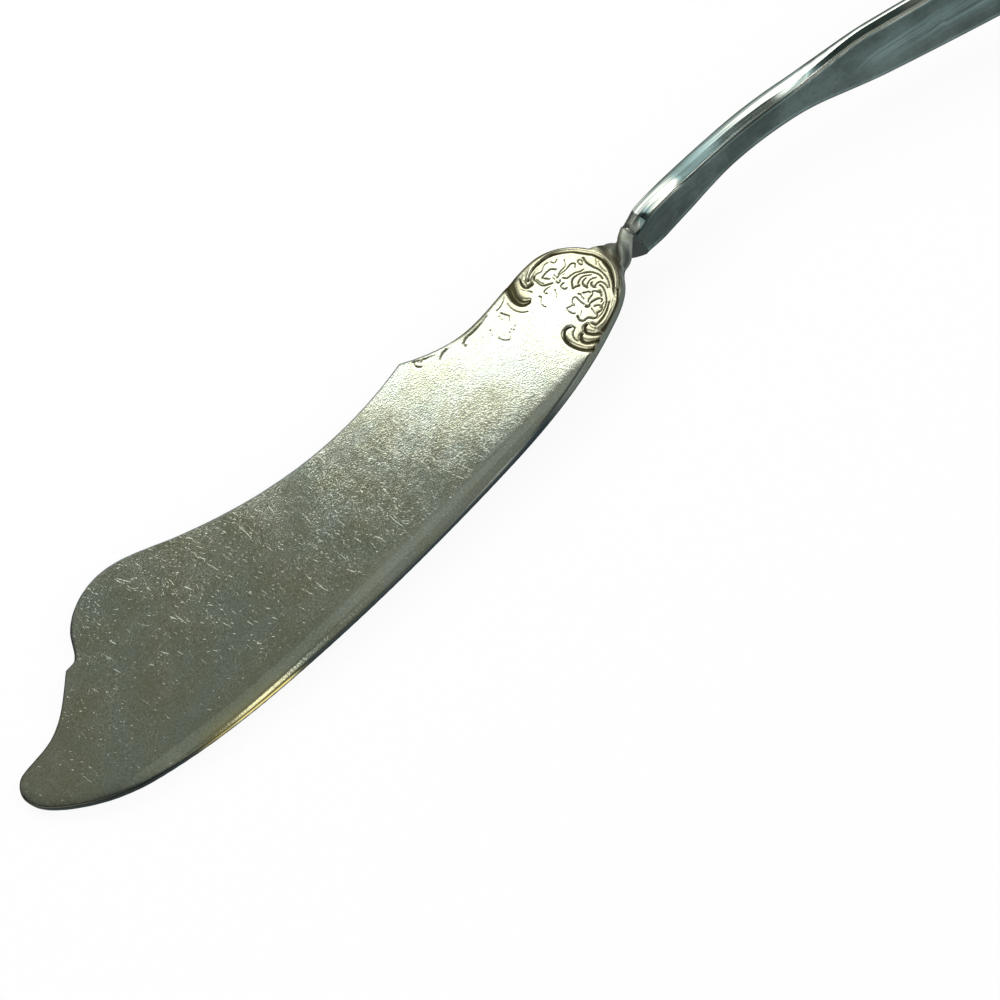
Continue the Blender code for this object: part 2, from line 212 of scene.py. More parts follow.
# Struck lines of the shoulder: width at the start and the end, depth, and places from the middle of the rim
LINES = (
    # Rim and its scrolls
    (0.16, 0.42, 0.091, ((-1.95, 4.45), (-1.4, 4.85), (-0.75, 5.1), (0, 5.15), (0.85, 5.1), (1.6, 4.9),
        (2.25, 4.55), (2.9, 4.1), (3.4, 3.65), (3.85, 3.05), (4.4, 2.3), (4.7, 1.9), (4.9, 1.35),
        (5.05, 0.65))),
    (0.42, 0.2, 0.091, ((5.05, 0.65), (5, 0.1), (4.9, -0.6), (4.6, -1.35), (4.3, -2), (3.8, -2.65),
        (3.25, -3.35), (2.55, -3.85))),
    (0.7, 0.25, 0.168, ((-3.75, 5.5), (-4.05, 5), (-4.25, 4.4), (-4.3, 3.75), (-4.15, 3.15), (-3.8, 2.75),
        (-3.3, 2.6))),
    (1.3, 0.3, 0.14, ((-3.4, 5.45), (-3.65, 4.8), (-3.9, 4.1), (-3.9, 3.5), (-3.65, 3.05), (-3.2, 2.75))),
    (0.11, 0.1, 0.029, ((-5.05, 4.1), (-5.1, 3.6), (-5, 3.05), (-4.8, 2.6), (-4.5, 2.2), (-4.05, 1.9))),
    (0.12, 0.12, 0.04, ((-3.05, 5.15), (-3.15, 4.7), (-3.05, 4.25), (-2.75, 3.8), (-2.55, 3.5),
        (-2.45, 3.2))),
    (0.22, 0.36, 0.098, ((-2.5, 5.15), (-2.65, 4.75), (-2.65, 4.35), (-2.45, 4), (-1.9, 3.9))),
    (0.11, 0.12, 0.034, ((-1.95, 5.35), (-2.25, 5.1), (-2.35, 4.65), (-2.3, 4.25), (-2.2, 3.95))),
    (0.2, 0.5, 0.154, ((-1.9, -2.55), (-2.3, -2.4), (-2.75, -2.5), (-3.05, -2.85), (-3.15, -3.25),
        (-3.15, -3.85), (-2.95, -4.55), (-2.65, -5.15), (-2.25, -5.7), (-1.8, -6.05))),
    (0.16, 0.14, 0.045, ((-1.9, -2.55), (-1.75, -2.8), (-1.75, -3.05), (-2.1, -3.25), (-2.35, -3.55),
        (-2.45, -3.95), (-2.35, -4.4))),
    (0.25, 0.55, 0.14, ((-1.5, -4), (-1.75, -4.05), (-1.95, -4.3), (-1.95, -4.75), (-1.7, -5.15),
        (-1.3, -5.45), (-0.85, -5.7))),
    (0.25, 0.5, 0.14, ((-0.55, -3.55), (-0.85, -3.6), (-1.05, -3.8), (-1.1, -4.2), (-0.85, -4.65),
        (-0.55, -5), (-0.25, -5.2))),
    (0.11, 0.11, 0.034, ((-0.55, -3.55), (-0.4, -3.65), (-0.4, -4), (-0.25, -4.45), (0.2, -4.75))),
    (0.34, 0.3, 0.1, ((0.15, -5.2), (0.8, -5.1), (1.6, -4.8), (2.4, -4.45), (3, -4.05), (3.55, -3.5),
        (4.05, -2.9))),
    # Upper blossom
    (0.2, 0.16, 0.045, ((-1.15, 4.35), (-1.4, 4.1), (-1.35, 3.65), (-1.3, 3.2), (-1.05, 2.85),
        (-0.7, 2.65), (-0.3, 2.45))),
    (0.11, 0.1, 0.029, ((-1.2, 3.95), (-1.15, 3.45), (-1, 3.05))),
    (0.11, 0.1, 0.029, ((-1.15, 4.35), (-0.85, 4.4), (-0.6, 4.35), (-0.4, 4.25), (-0.15, 4.3), (0.15, 4.5),
        (0.45, 4.6), (0.8, 4.55))),
    (0.11, 0.1, 0.029, ((1.05, 4.4), (1.15, 4.15), (1.35, 4), (1.55, 4.05), (1.7, 4.15))),
    (0.15, 0.14, 0.04, ((-0.7, 3.65), (-0.15, 3.8), (0.2, 3.8), (0.55, 3.75), (0.9, 3.35))),
    (0.2, 0.09, 0.045, ((-0.6, 3.55), (-0.45, 3.3), (-0.2, 3))),
    (0.12, 0.12, 0.045, ((0.15, 2.35), (0.1, 2.15), (0.2, 2), (0.4, 2), (0.5, 2.15))),
    (0.1, 0.06, 0.029, ((0.15, 2.55), (0.1, 2.9))),
    (0.1, 0.06, 0.029, ((0.35, 2.55), (0.4, 3.05))),
    (0.12, 0.11, 0.034, ((0.8, 2.75), (1.2, 2.85), (1.75, 2.9), (1.95, 3.05), (2.2, 3.55))),
    (0.14, 0.14, 0.04, ((0.45, 2.55), (0.95, 2.65), (1.55, 2.6), (2.05, 2.65), (2.4, 2.7), (2.6, 2.6),
        (2.7, 2.35), (2.5, 2.1))),
    (0.1, 0.09, 0.022, ((0.9, 2.45), (1.25, 2.35))),
    (0.14, 0.12, 0.04, ((0.85, 2.15), (0.95, 1.95), (1.2, 1.75), (1.75, 1.7), (2.2, 1.6), (2.6, 1.35),
        (2.95, 1.3))),
    (0.14, 0.12, 0.04, ((0.55, 1.6), (0.35, 1.65), (0.15, 1.55), (0.1, 1.25), (0.25, 1), (0.45, 0.95))),
    (0.12, 0.11, 0.034, ((-1.4, 1.95), (-1.55, 2.25), (-1.3, 2.4), (-0.9, 2.4), (-0.6, 2.35))),
    (0.14, 0.07, 0.029, ((-2.2, 2.3), (-2.1, 2.1), (-2.3, 1.85), (-2.5, 1.6), (-2.55, 1.2), (-2.4, 0.9))),
    (0.11, 0.07, 0.029, ((-0.55, 1.7), (-0.7, 1.35), (-0.8, 1.1), (-1, 0.9))),
    (0.14, 0.14, 0.04, ((3.3, 2.45), (3.1, 2.35), (3.05, 2), (3.2, 1.8), (3.4, 2), (3.4, 2.3))),
    # Fan of leaves and its stem
    (0.21, 0.11, 0.051, ((0.9, 0.5), (1.1, 0.85), (1.35, 1.15), (1.65, 1.3), (2.05, 1.3), (2.45, 1.2),
        (2.8, 0.95), (3.25, 0.6), (3.55, 0.15), (3.75, -0.35), (3.75, -0.95))),
    (0.21, 0.16, 0.051, ((0.9, 0.45), (1.2, 0.4), (1.55, 0.2))),
    (0.16, 0.11, 0.045, ((1.55, 0.2), (1.65, 0.5), (1.9, 0.65), (2.25, 0.75), (2.65, 0.65), (2.9, 0.45),
        (3.2, 0.25))),
    (0.21, 0.1, 0.051, ((2, -0.55), (1.9, -0.15), (2, 0.2), (2.25, 0.35), (2.65, 0.4))),
    (0.16, 0.1, 0.045, ((2, -0.55), (2.2, -0.35), (2.4, -0.2), (2.7, -0.1), (3, -0.15), (3.35, -0.35))),
    (0.32, 0.24, 0.045, ((2.6, -0.45), (2.5, -0.65), (2.5, -0.95), (2.65, -1.1))),
    (0.16, 0.1, 0.045, ((2.75, -1), (2.95, -0.9), (3.25, -0.95), (3.45, -1.15), (3.55, -1.65),
        (3.5, -2.1))),
    (0.15, 0.11, 0.045, ((3.1, -1.2), (3.15, -1.7), (3, -2.25), (2.8, -2.65), (2.5, -3.1), (2.1, -3.4),
        (1.6, -3.65), (1.15, -3.8), (0.6, -3.85))),
    (0.3, 0.12, 0.041, ((-0.1, -3.85), (0.05, -4.2), (0.3, -4.3), (0.7, -4.25), (1.2, -4.15), (1.7, -3.95),
        (2.15, -3.65), (2.65, -3.3))),
    (0.2, 0.11, 0.051, ((3.75, 2.3), (3.65, 1.8), (3.7, 1.3), (3.85, 0.75), (4.05, 0.25), (4.15, -0.3),
        (4.15, -0.95), (4, -1.6), (3.65, -2.2))),
    (0.15, 0.1, 0.04, ((4.65, 1.35), (4.45, 1), (4.25, 0.75))),
    (0.14, 0.1, 0.04, ((4.65, 0.85), (4.45, 0.4), (4.4, -0.1), (4.45, -0.6))),
    # Lower blossom
    (0.12, 0.11, 0.034, ((-0.35, -0.9), (-0.65, -0.85), (-0.85, -0.75), (-1, -0.95), (-1, -1.35),
        (-0.85, -1.65), (-0.7, -1.8))),
    (0.11, 0.14, 0.034, ((-0.35, -0.9), (-0.2, -1.1), (-0.15, -0.8), (0, -0.55), (0.2, -0.4), (0.45, -0.45),
        (0.5, -0.75), (0.5, -1.2), (0.6, -1.7))),
    (0.14, 0.1, 0.034, ((0.9, -0.4), (1, -0.6), (0.95, -0.95), (0.95, -1.25))),
    (0.15, 0.12, 0.04, ((1.3, -0.65), (1.5, -0.8), (1.8, -0.95), (1.85, -1.2))),
    (0.19, 0.19, 0.051, ((0.6, -1.95), (0.65, -2.15), (0.9, -2.25), (1.05, -2.1))),
    (0.14, 0.14, 0.04, ((1.1, -1.85), (1.3, -1.65), (1.75, -1.55), (2, -1.45), (2.1, -1.25), (2.35, -1.4),
        (2.45, -1.7), (2.6, -1.95), (2.5, -2.3))),
    (0.36, 0.26, 0.041, ((2.6, -1.8), (2.6, -2), (2.5, -2.3))),
    (0.19, 0.15, 0.051, ((1.1, -2.05), (1.5, -2.1), (1.9, -2.2), (2.15, -2.35), (2.3, -2.6), (2.1, -2.75))),
    (0.14, 0.12, 0.04, ((1.25, -2.65), (1.5, -2.75), (1.7, -3), (1.6, -3.2), (1.95, -3.1), (2.2, -3))),
    (0.16, 0.19, 0.051, ((-0.7, -2.2), (-0.8, -2.65), (-0.7, -2.95), (-0.45, -3.1), (-0.15, -3.1),
        (0.1, -3.25), (0.3, -3.55), (0.6, -3.7), (0.85, -3.6), (1, -3.4), (1.25, -3.45), (1.55, -3.45),
        (1.8, -3.2))),
    (0.12, 0.1, 0.029, ((0.85, -2.55), (0.8, -3), (0.75, -3.45))),
    (0.09, 0.09, 0.019, ((-0.4, -2.45), (-0.05, -2.1))),
    # Band along the back
    (0.14, 0.11, 0.051, ((-16.05, 6.25), (-16.25, 5.95), (-16.15, 5.55), (-15.85, 5.25))),
    (0.12, 0.09, 0.04, ((-15.65, 6.05), (-15.8, 5.95), (-15.8, 5.8))),
    (0.14, 0.09, 0.034, ((-15.55, 5.65), (-15.15, 5.7), (-14.65, 5.45), (-14.05, 5.2))),
    (0.11, 0.2, 0.04, ((-13.9, 4.35), (-13.6, 4.6), (-13.2, 4.75), (-12.8, 4.8))),
    (0.2, 0.12, 0.045, ((-11.1, 3.65), (-11.05, 3.95), (-10.8, 4.15), (-10.3, 4.3), (-9.7, 4.25),
        (-8.95, 4.3), (-8.25, 4.4), (-7.45, 4.55))),
    (0.1, 0.1, 0.029, ((-6.35, 4.3), (-5.8, 4.35), (-5.3, 4.55), (-4.7, 4.95))),
    (0.09, 0.07, 0.019, ((-8.15, 3.15), (-8.45, 2.4))),
    (0.09, 0.09, 0.02, ((-8.1, 1.95), (-7.95, 1.45), (-7.6, 1.05), (-7.3, 0.85), (-7.1, 1.05),
        (-6.8, 1.55))),
    (0.07, 0.07, 0.019, ((-6.55, 1.7), (-6.3, 1.35), (-5.95, 1.7))),
    (0.14, 0.11, 0.029, ((-6.2, 3.8), (-6, 3.35), (-5.8, 2.95), (-6.05, 2.5))),
    (0.11, 0.09, 0.022, ((-6.55, 3.65), (-6.6, 3.05))),
)

# Raised rim of the shoulder: its width, and the places that its crest runs through, from its middle
RIM_WIDTH = 0.52
RIM_PLACES = (
    (-1.75, 4.75), (-0.75, 5.3), (0.9, 5.35), (2.45, 4.75), (4.2, 3.05), (5.3, 0.95), (5.1, -1.2),
    (3.6, -3.1), (1.35, -4.45), (0.0, -4.6),
)

# Points across the blade's faces and walls, and across the handle's
TOP_COLUMNS = 160
UNDER_COLUMNS = 22
WALL_COLUMNS = 3
FRONT_COLUMNS = 118
EDGE_COLUMNS = 10
BACK_COLUMNS = 46
WALL_SHARES = np.linspace(0.0, 1.0, WALL_COLUMNS + 2)[1:-1]

# Rings of the blade: those of its nose, and of its stretches as (start, end, count)
NOSE_RINGS = 16
NOSE_SHARE = 0.05
PEAK_AT = BLADE_LENGTH - PEAK[0]
STRUCK_AT = BLADE_LENGTH - 12.5
TWIST_START = BLADE_LENGTH + TWIST_PLACES[0]
BLADE_STRETCHES = (
    (NOSE[0], STEP[0], 24),
    (STEP[0], RISE[0], 14),
    (RISE[0], HUMP[0], 16),
    (HUMP[0], PEAK_AT, 62),
    (PEAK_AT, STRUCK_AT, 100),
    (STRUCK_AT, TWIST_START, 164),
    (TWIST_START, BLADE_LENGTH, 18),
)

# Rings of the neck, and of the handle: its stretches as (start, end, count), its root and its rounded end
NECK_RINGS = 40
HANDLE_STRETCHES = (
    (0.2, HANDLE_PLACES[3], 60),
    (HANDLE_PLACES[3], 42.0, 90),
    (42.0, 62.0, 50),
    (62.0, HANDLE_PLACES[-1], 150),
)
ROOT_RINGS = ROOT_LENGTH + np.array([-0.05, 0.0, 0.05])
END_RINGS = 90
END_SHARE = 0.985

# Painted shade: dark lines along the blade's outline, wider at the tip and at the step, and walls darkened
# partly by tarnish and partly by painted dark reflection
SIDE_LINE = 0.19
BACK_LINE = 0.17
STEP_LINE_LENGTH = 1.2
STEP_LINE_GROWS = 1.3
BACK_WALL_DARK = 0.45
LOW_WALL_LIGHT = 0.3
LOW_WALL_LIGHTENS = (64.0, 70.0)
# Painted shade of the belly near the tip, and a painted dark band along the back: (share, width) and where it
# is
TIP_DARKENS = (16.0, 7.0)
BELLY_DARK = (0.55, 0.9)
BAND_DARK = (0.9, 0.22)
BAND_INSET = 0.12
BAND = (62.0, 65.0, 76.0, 79.0)
# Stretch of the edge that is rubbed through, with its bright middle: begins, is full, is full still and ends
RUBBED = (15.5, 20.5, 26.5, 31.5)
RUBBED_HALO = (0.5, 1.0)
RUBBED_BRIGHT = (20.5, 22.5, 28.0, 30.0)
GILT_INSET = 0.07
GILT_WIDTH = 0.1
# Stretch over which the bevel turns matt
BEVEL_MATT = (30.0, 44.0)
# Painted shade of the blade's end where it turns into the neck: shares, widths, and stretches from the end
FISHTAIL_DARK = 0.8
FISHTAIL_DARKENS = (-1.0, -0.3)
FISHTAIL_MATT = 2.0
WEDGE_DARK = (0.7, 0.7)
WEDGE_DARKENS = (-1.3, -0.4)
UNDER_DARKENS = (-2.2, -0.2)
# Darkening of the neck, partly tarnish and partly painted dark reflection: its lower side with lighter
# corners, and its wall at places along it
NECK_DARK = 0.93
NECK_ARRIS_LIGHT = (0.25, 0.12)
NECK_WALL_PLACES = (0.0, 0.4, 0.8, 1.2, 1.6, 2.0, 2.5, 2.7, NECK_LENGTH)
NECK_WALL_DARK = (0.75, 0.75, 0.75, 0.8, 0.7, 0.5, 0.45, 0.7, 0.95)
NECK_WALL_SPREAD = np.array([-0.15, 0.0, 0.15])
NECK_MATT = 2.6

# Distance of the points of an outline that places are measured to
OUTLINE_STEP = 0.03

# Insets of the first points of a face, close together at its rounded corner
CORNER_INSETS = np.array([0.0, 0.02, 0.05, 0.09, 0.14, 0.2, 0.28, 0.38, 0.5, 0.65])
# Width of the narrowest face that has them in full
INSETS_WIDTH = 2.6
# Shares of the way down the handle's edge, above and below the fold of its bevel
ABOVE_FOLD = np.array([0.15, 0.4, 0.7, 0.93])
BELOW_FOLD = np.array([0.07, 0.25, 0.5, 0.75, 0.92])

# Knife's frame in millimetres to the scene in metres
REST = (
    Matrix.Translation(Vector(REST_PLACE) * MM)
    @ Euler([math.radians(angle) for angle in REST_TURN]).to_matrix().to_4x4()
    @ Matrix.Scale(MM, 4)
)


def ease(value):
    """Smooth step from 0 to 1."""
    value = np.clip(value, 0.0, 1.0)
    return value * value * (3.0 - 2.0 * value)


def rise(value, start, end):
    """Smooth step from 0 at a start to 1 at an end."""
    return float(ease((value - start) / (end - start)))


def span(value, begins, full, still, ends):
    """Smooth step from 0 to 1 and back to 0."""
    return rise(value, begins, full) * rise(value, ends, still)


def bell(distance, width):
    """1 at no distance, falling away over a width."""
    return np.exp(-((distance / width) ** 2))


def round_section(over, under, share):
    """Heights round a section: its upper face, one wall down, its lower face and the other wall up."""
    return np.concatenate([
        over, over[-1] + (under[0] - over[-1]) * share, under, under[-1] + (over[0] - under[-1]) * share,
    ])


def with_walls(over, low_wall, under, high_wall):
    """Values round a ring of the blade: its upper face, one wall, its lower face and the other wall."""
    return np.concatenate([over, np.full(WALL_COLUMNS, low_wall), under, np.full(WALL_COLUMNS, high_wall)])


def smooth_line(knots, steps=48):
    """Points of a smooth line through knots of (place, heading in, heading out), headings in degrees."""
    points = []
    for (start, _, leave), (end, arrive, _) in zip(knots, knots[1:]):
        a, b = np.array(start), np.array(end)
        chord = np.linalg.norm(b - a)
        go = chord * np.array([math.cos(math.radians(leave)), math.sin(math.radians(leave))])
        come = chord * np.array([math.cos(math.radians(arrive)), math.sin(math.radians(arrive))])
        t = np.linspace(0.0, 1.0, steps, endpoint=False)[:, None]
        through = a * (2 * t**3 - 3 * t**2 + 1) + b * (3 * t**2 - 2 * t**3)
        points.append(through + go * (t**3 - 2 * t**2 + t) + come * (t**3 - t**2))
    points.append(np.array([knots[-1][0]]))
    return np.vstack(points)


def drawn_through(places, steps=16):
    """Points of a flowing line drawn through a few places."""
    p = np.array(places, float)
    p = np.vstack([2 * p[0] - p[1], p, 2 * p[-1] - p[-2]])
    t = np.linspace(0.0, 1.0, steps, endpoint=False)[:, None]
    parts = [
        0.5 * (2 * b + (c - a) * t + (2 * a - 5 * b + 4 * c - d) * t**2 + (3 * b - a - 3 * c + d) * t**3)
        for a, b, c, d in zip(p, p[1:], p[2:], p[3:])
    ]
    return np.vstack([*parts, p[-2:-1]])


def evenly(line, step):
    """The same line with points at even distances."""
    run = np.concatenate([[0.0], np.cumsum(np.linalg.norm(np.diff(line, axis=0), axis=1))])
    at = np.linspace(0.0, run[-1], int(run[-1] / step) + 2)
    return np.stack([np.interp(at, run, line[:, 0]), np.interp(at, run, line[:, 1])], axis=1)


def from_neck(place):
    """A place measured back from the neck, in the knife's frame."""
    return (BLADE_LENGTH - place[0], place[1])


def back_line():
    """The back of the blade, from the tip to the neck."""
    return smooth_line((
        ((0.0, TIP_Y), 90, 90),
        (NOSE, 14, 14),
        (CLIP, 24, 24),
        (STEP, 46, 6),
        (NOTCH, 12, 42),
        (RISE, 56, 56),
        (HUMP, 0, 0),
        (from_neck(FALL), -21, -21),
        (from_neck(WAIST), 0, 0),
        (from_neck(PEAK), 14, -28),
        (from_neck(HOLLOW), 0, 0),
        (from_neck(SHOULDER), 0, 0),
        (from_neck(SHOULDER_TURN), -58, -16),
        ((BLADE_LENGTH, NECK_Y + NECK_ROOT_WIDTH / 2), -34, -34),
    ))


def edge_line():
    """The cutting edge and the under side of the shoulder, from the tip to the neck."""
    return smooth_line((
        ((0.0, TIP_Y), -90, -90),
        (CHIN, -35, -35),
        (THROAT, -12, -12),
        (from_neck(BELLY), 0, 0),
        (from_neck(HEEL), 6, 6),
        (from_neck(UNDER_SHOULDER), 23, 23),
        (from_neck(UNDER_TURN), 54, 54),
        ((BLADE_LENGTH, NECK_Y - NECK_ROOT_WIDTH / 2), 26, 26),
    ))


def blade_thickness(x):
    """Thickness of the plate at a station: a long convex taper, level at the struck shoulder."""
    return SHOULDER_THICKNESS - (SHOULDER_THICKNESS - TIP_THICKNESS) * (1.0 - x / BLADE_LENGTH) ** 2


def corner_drop(inset, radius):
    """How far a rounded corner falls below its face, at an inset from its side."""
    left = np.clip(radius - inset, 0.0, radius)
    return radius - np.sqrt(radius**2 - left**2)


def insets(width, count):
    """Insets across a face, close together at both sides."""
    side = CORNER_INSETS * min(1.0, width / INSETS_WIDTH)
    middle = np.linspace(side[-1], width - side[-1], count - 2 * len(side) + 2)[1:-1]
    return np.concatenate([side, middle, (width - side)[::-1]])


# Struck faces: how far a line is drawn past its width, and a distance beyond every line
LINE_REACH = 1.3
FAR_AWAY = 9.0
# Depths at which a hollow and a line are dark all over
HOLLOW_DARK = 0.022
LINE_DARK = 0.14
# How much wider and stronger the painted shade of the ground round the lines is than the tarnish of the
# recesses
GROUND_SPREAD = 3.0
GROUND_STRENGTH = 3.0
# Grids of the struck faces: lowest and highest place, and the step between places
SHOULDER_GRID = ((-17.6, -7.2), (6.4, 7.4), 0.04)
HANDLE_GRID = ((20.0, -8.2), (HANDLE_LENGTH + 0.2, 8.2), 0.06)


class StruckFace:
    """Height and tarnish of a struck face, drawn on a fine grid of places and read back between them."""

    def __init__(self, low, high, step):
        self.low, self.step = low, step
        self.u = np.arange(low[0], high[0] + step, step)
        self.v = np.arange(low[1], high[1] + step, step)
        shape = (len(self.u), len(self.v))
        self.cut, self.raised, self.near = np.zeros(shape), np.zeros(shape), np.full(shape, FAR_AWAY)

    def draw(self, line, start_width, end_width, height):
        """Strike one line into the face, or raise it where its height is above 0."""
        reach = LINE_REACH + max(start_width, end_width)
        (u0, v0), (u1, v1) = line.min(axis=0) - reach, line.max(axis=0) + reach
        rows = slice(np.searchsorted(self.u, u0), np.searchsorted(self.u, u1))
        columns = slice(np.searchsorted(self.v, v0), np.searchsorted(self.v, v1))
        across = self.v[columns]
        for i in range(rows.start, rows.stop):
            ahead = np.abs(line[:, 0] - self.u[i]) < reach
            if not ahead.any():
                continue
            some = np.nonzero(ahead)[0]
            away = np.hypot(line[some, 0] - self.u[i], across[:, None] - line[some, 1])
            nearest = away.argmin(axis=1)
            distance = away[np.arange(len(across)), nearest]
            width = start_width + (end_width - start_width) * some[nearest] / (len(line) - 1)
            profile = np.abs(height) * bell(distance, width / 2)
            if height > 0.0:
                self.raised[i, columns] = np.maximum(self.raised[i, columns], profile)
            else:
                self.cut[i, columns] = np.maximum(self.cut[i, columns], profile)
                self.near[i, columns] = np.minimum(self.near[i, columns], distance)

    def settle(self, swell, swell_width, softness):
        """Work out the height with the metal that swells beside each line, where tarnish stays, and the
        painted shade round the lines.
        """
        beside = self.near / swell_width
        self.height = self.raised - self.cut + swell * beside * np.exp(1.0 - beside)
        f = np.fft.fftfreq(len(self.u), self.step)[:, None]
        g = np.fft.rfftfreq(len(self.v), self.step)[None, :]
        blur = np.exp(-2.0 * (math.pi * softness) ** 2 * (f**2 + g**2))
        mean = np.fft.irfft2(np.fft.rfft2(self.height) * blur, s=self.height.shape)
        hollow, line = (mean - self.height) / HOLLOW_DARK, (self.cut / LINE_DARK) ** 2
        self.recess = np.clip(np.maximum(hollow, line), 0.0, 1.0)
        # Painted shade: the recesses spread wider and stronger over the ground round the lines
        wide = np.exp(-2.0 * (math.pi * GROUND_SPREAD * softness) ** 2 * (f**2 + g**2))
        spread = np.fft.irfft2(np.fft.rfft2(self.recess) * wide, s=self.height.shape)
        self.field = np.clip(GROUND_STRENGTH * spread, 0.0, 1.0)

    def read(self, grid, u, v):
        """Values of one of the grids at places, 0 outside it."""
        a, b = (u - self.low[0]) / self.step, (v - self.low[1]) / self.step
        inside = (a >= 0) & (b >= 0) & (a < grid.shape[0] - 1) & (b < grid.shape[1] - 1)
        i, j = np.where(inside, a, 0).astype(int), np.where(inside, b, 0).astype(int)
        p, q = a - i, b - j
        value = (
            grid[i, j] * (1 - p) * (1 - q) + grid[i + 1, j] * p * (1 - q)
            + grid[i, j + 1] * (1 - p) * q + grid[i + 1, j + 1] * p * q
        )
        return np.where(inside, value, 0.0)


def struck_shoulder(rim_height, depth):
    """The scrolls, blossoms and leaves struck into the shoulder of the blade."""
    face = StruckFace(*SHOULDER_GRID)
    for start_width, end_width, line_depth, places in LINES:
        face.draw(drawn_through(places), start_width, end_width, -line_depth * depth)
    face.draw(drawn_through(RIM_PLACES), RIM_WIDTH, RIM_WIDTH, rim_height)
    face.settle(0.0, 0.22, 0.2)
    return face


def blade_stations():
    """Places along the blade where it is cut into rings, close together where it is struck."""
    nose = NOSE[0] * (1.0 - np.cos(np.linspace(NOSE_SHARE, 1.0, NOSE_RINGS) * math.pi / 2))
    stretches = [np.linspace(*stretch) for stretch in BLADE_STRETCHES]
    return np.unique(np.round(np.concatenate([nose, *stretches]), 6))


def nearest_distance(x, y, line, reach):
    """Distance of the places of one station to an outline."""
    some = line[np.abs(line[:, 0] - x) < reach]
    if len(some) == 0:
        return np.full(len(y), reach)
    return np.hypot(x - some[:, 0], y[:, None] - some[:, 1]).min(axis=1)


def blade_marks(struck, place, x, to_back, to_edge, under_side, down):
    """What the plating needs to know round one ring of the blade."""
    from_end = x - BLADE_LENGTH
    tip = rise(x, *TIP_DARKENS)
    fishtail = FISHTAIL_DARK * rise(from_end, *FISHTAIL_DARKENS)
    # Tarnish in the struck lines, with painted shade at the blade's end, along the belly near the tip and in
    # a band along the back
    recess = np.maximum.reduce([
        struck.read(struck.recess, *place),
        np.full_like(to_edge, fishtail),
        BELLY_DARK[0] * tip * bell(to_edge, BELLY_DARK[1]),
        BAND_DARK[0] * span(x, *BAND) * bell(to_back - BAND_INSET, BAND_DARK[1]),
    ])
    gilt = span(x, *RUBBED_BRIGHT) * bell(to_edge - GILT_INSET, GILT_WIDTH)
    halo = RUBBED_HALO[0] * span(x, *RUBBED) * bell(to_edge, RUBBED_HALO[1])
    # Painted shade and dark reflection: dark lines along the edge and the back, a dark wedge at the end, and
    # darkened walls and lower face
    edge_width = SIDE_LINE * (1.0 + tip)
    back_width = BACK_LINE * (1.0 + STEP_LINE_GROWS * bell(x - RISE[0], STEP_LINE_LENGTH))
    outline = np.exp(-((to_edge / edge_width) ** 4)) + np.exp(-((to_back / back_width) ** 4))
    wedge = WEDGE_DARK[0] * rise(from_end, *WEDGE_DARKENS) * bell(to_edge, WEDGE_DARK[1])
    low_wall = 1.0 - LOW_WALL_LIGHT * rise(x, *LOW_WALL_LIGHTENS)
    top = np.clip(np.maximum(outline * low_wall, wedge), 0.0, 1.0) * (1.0 - gilt)
    under = np.maximum(bell(under_side, BACK_LINE), NECK_DARK * rise(from_end, *UNDER_DARKENS))
    side = with_walls(top, low_wall, under, BACK_WALL_DARK)
    # Matt band of the bevel: rougher, and lightened by the finish as painted light
    ground = np.maximum(down * (1.0 - down**3) * rise(x, *BEVEL_MATT), FISHTAIL_MATT * fishtail)
    plain = np.zeros(len(side) - TOP_COLUMNS)
    on_top = (recess, np.maximum(halo, gilt), struck.read(struck.field, *place), ground)
    recess, rubbed, field, matt = (np.concatenate([values, plain]) for values in on_top)
    return np.stack([recess, side, rubbed, field, matt], axis=1)


def blade_rings(struck):
    """Rings of the blade with what the plating needs to know at each point."""
    back, edge = back_line(), edge_line()
    fine_back, fine_edge = evenly(back, OUTLINE_STEP), evenly(edge, OUTLINE_STEP)
    bed = -SHOULDER_THICKNESS / 2
    middle = from_neck(RIM_CENTRE)
    rings, marks = [], []
    for x in blade_stations():
        top_y, low_y = np.interp(x, back[:, 0], back[:, 1]), np.interp(x, edge[:, 0], edge[:, 1])
        wide, thick = top_y - low_y, blade_thickness(x)
        y, under_y = top_y - insets(wide, TOP_COLUMNS), low_y + insets(wide, UNDER_COLUMNS)
        to_back = nearest_distance(x, y, fine_back, BEVEL_WIDTH)
        to_edge = nearest_distance(x, y, fine_edge, BEVEL_WIDTH)
        under_side = np.minimum(
            nearest_distance(x, under_y, fine_back, 1.0), nearest_distance(x, under_y, fine_edge, 1.0)
        )
        sharp = rise(x, *BEVEL_BEGINS) * rise(x, *BEVEL_ENDS)
        wall = thick - (thick - EDGE_THICKNESS) * sharp
        narrow = rise(x, *BEVEL_NARROWS)
        bevel_width = min(BEVEL_WIDTH + (HEEL_BEVEL_WIDTH - BEVEL_WIDTH) * narrow, wide / 2)
        down = np.clip(1.0 - to_edge / bevel_width, 0.0, 1.0)
        soft = np.clip(1.0 - to_edge / BEVEL_WIDTH, 0.0, 1.0)
        bevel = (thick - wall) * down**4 + SOFT_FALL * sharp * soft**2
        radius = min(CORNER, wide / 5, wall / 3)
        turn = min(BACK_CORNER, radius)
        place = (x - middle[0], y - middle[1])
        z = bed + thick - bevel - corner_drop(to_back, turn) - corner_drop(to_edge, radius)
        z += struck.read(struck.height, *place)
        across = with_walls(y, low_y, under_y, top_y) - NECK_Y
        up = round_section(z, bed + corner_drop(under_side, radius), WALL_SHARES)
        twist = math.radians(twist_at(x - BLADE_LENGTH))
        rings.append(np.stack([
            np.full_like(up, x),
            NECK_Y + across * math.cos(twist) + up * math.sin(twist),
            up * math.cos(twist) - across * math.sin(twist),
        ], axis=1))
        marks.append(blade_marks(struck, place, x, to_back, to_edge, under_side, down))
    return rings, marks


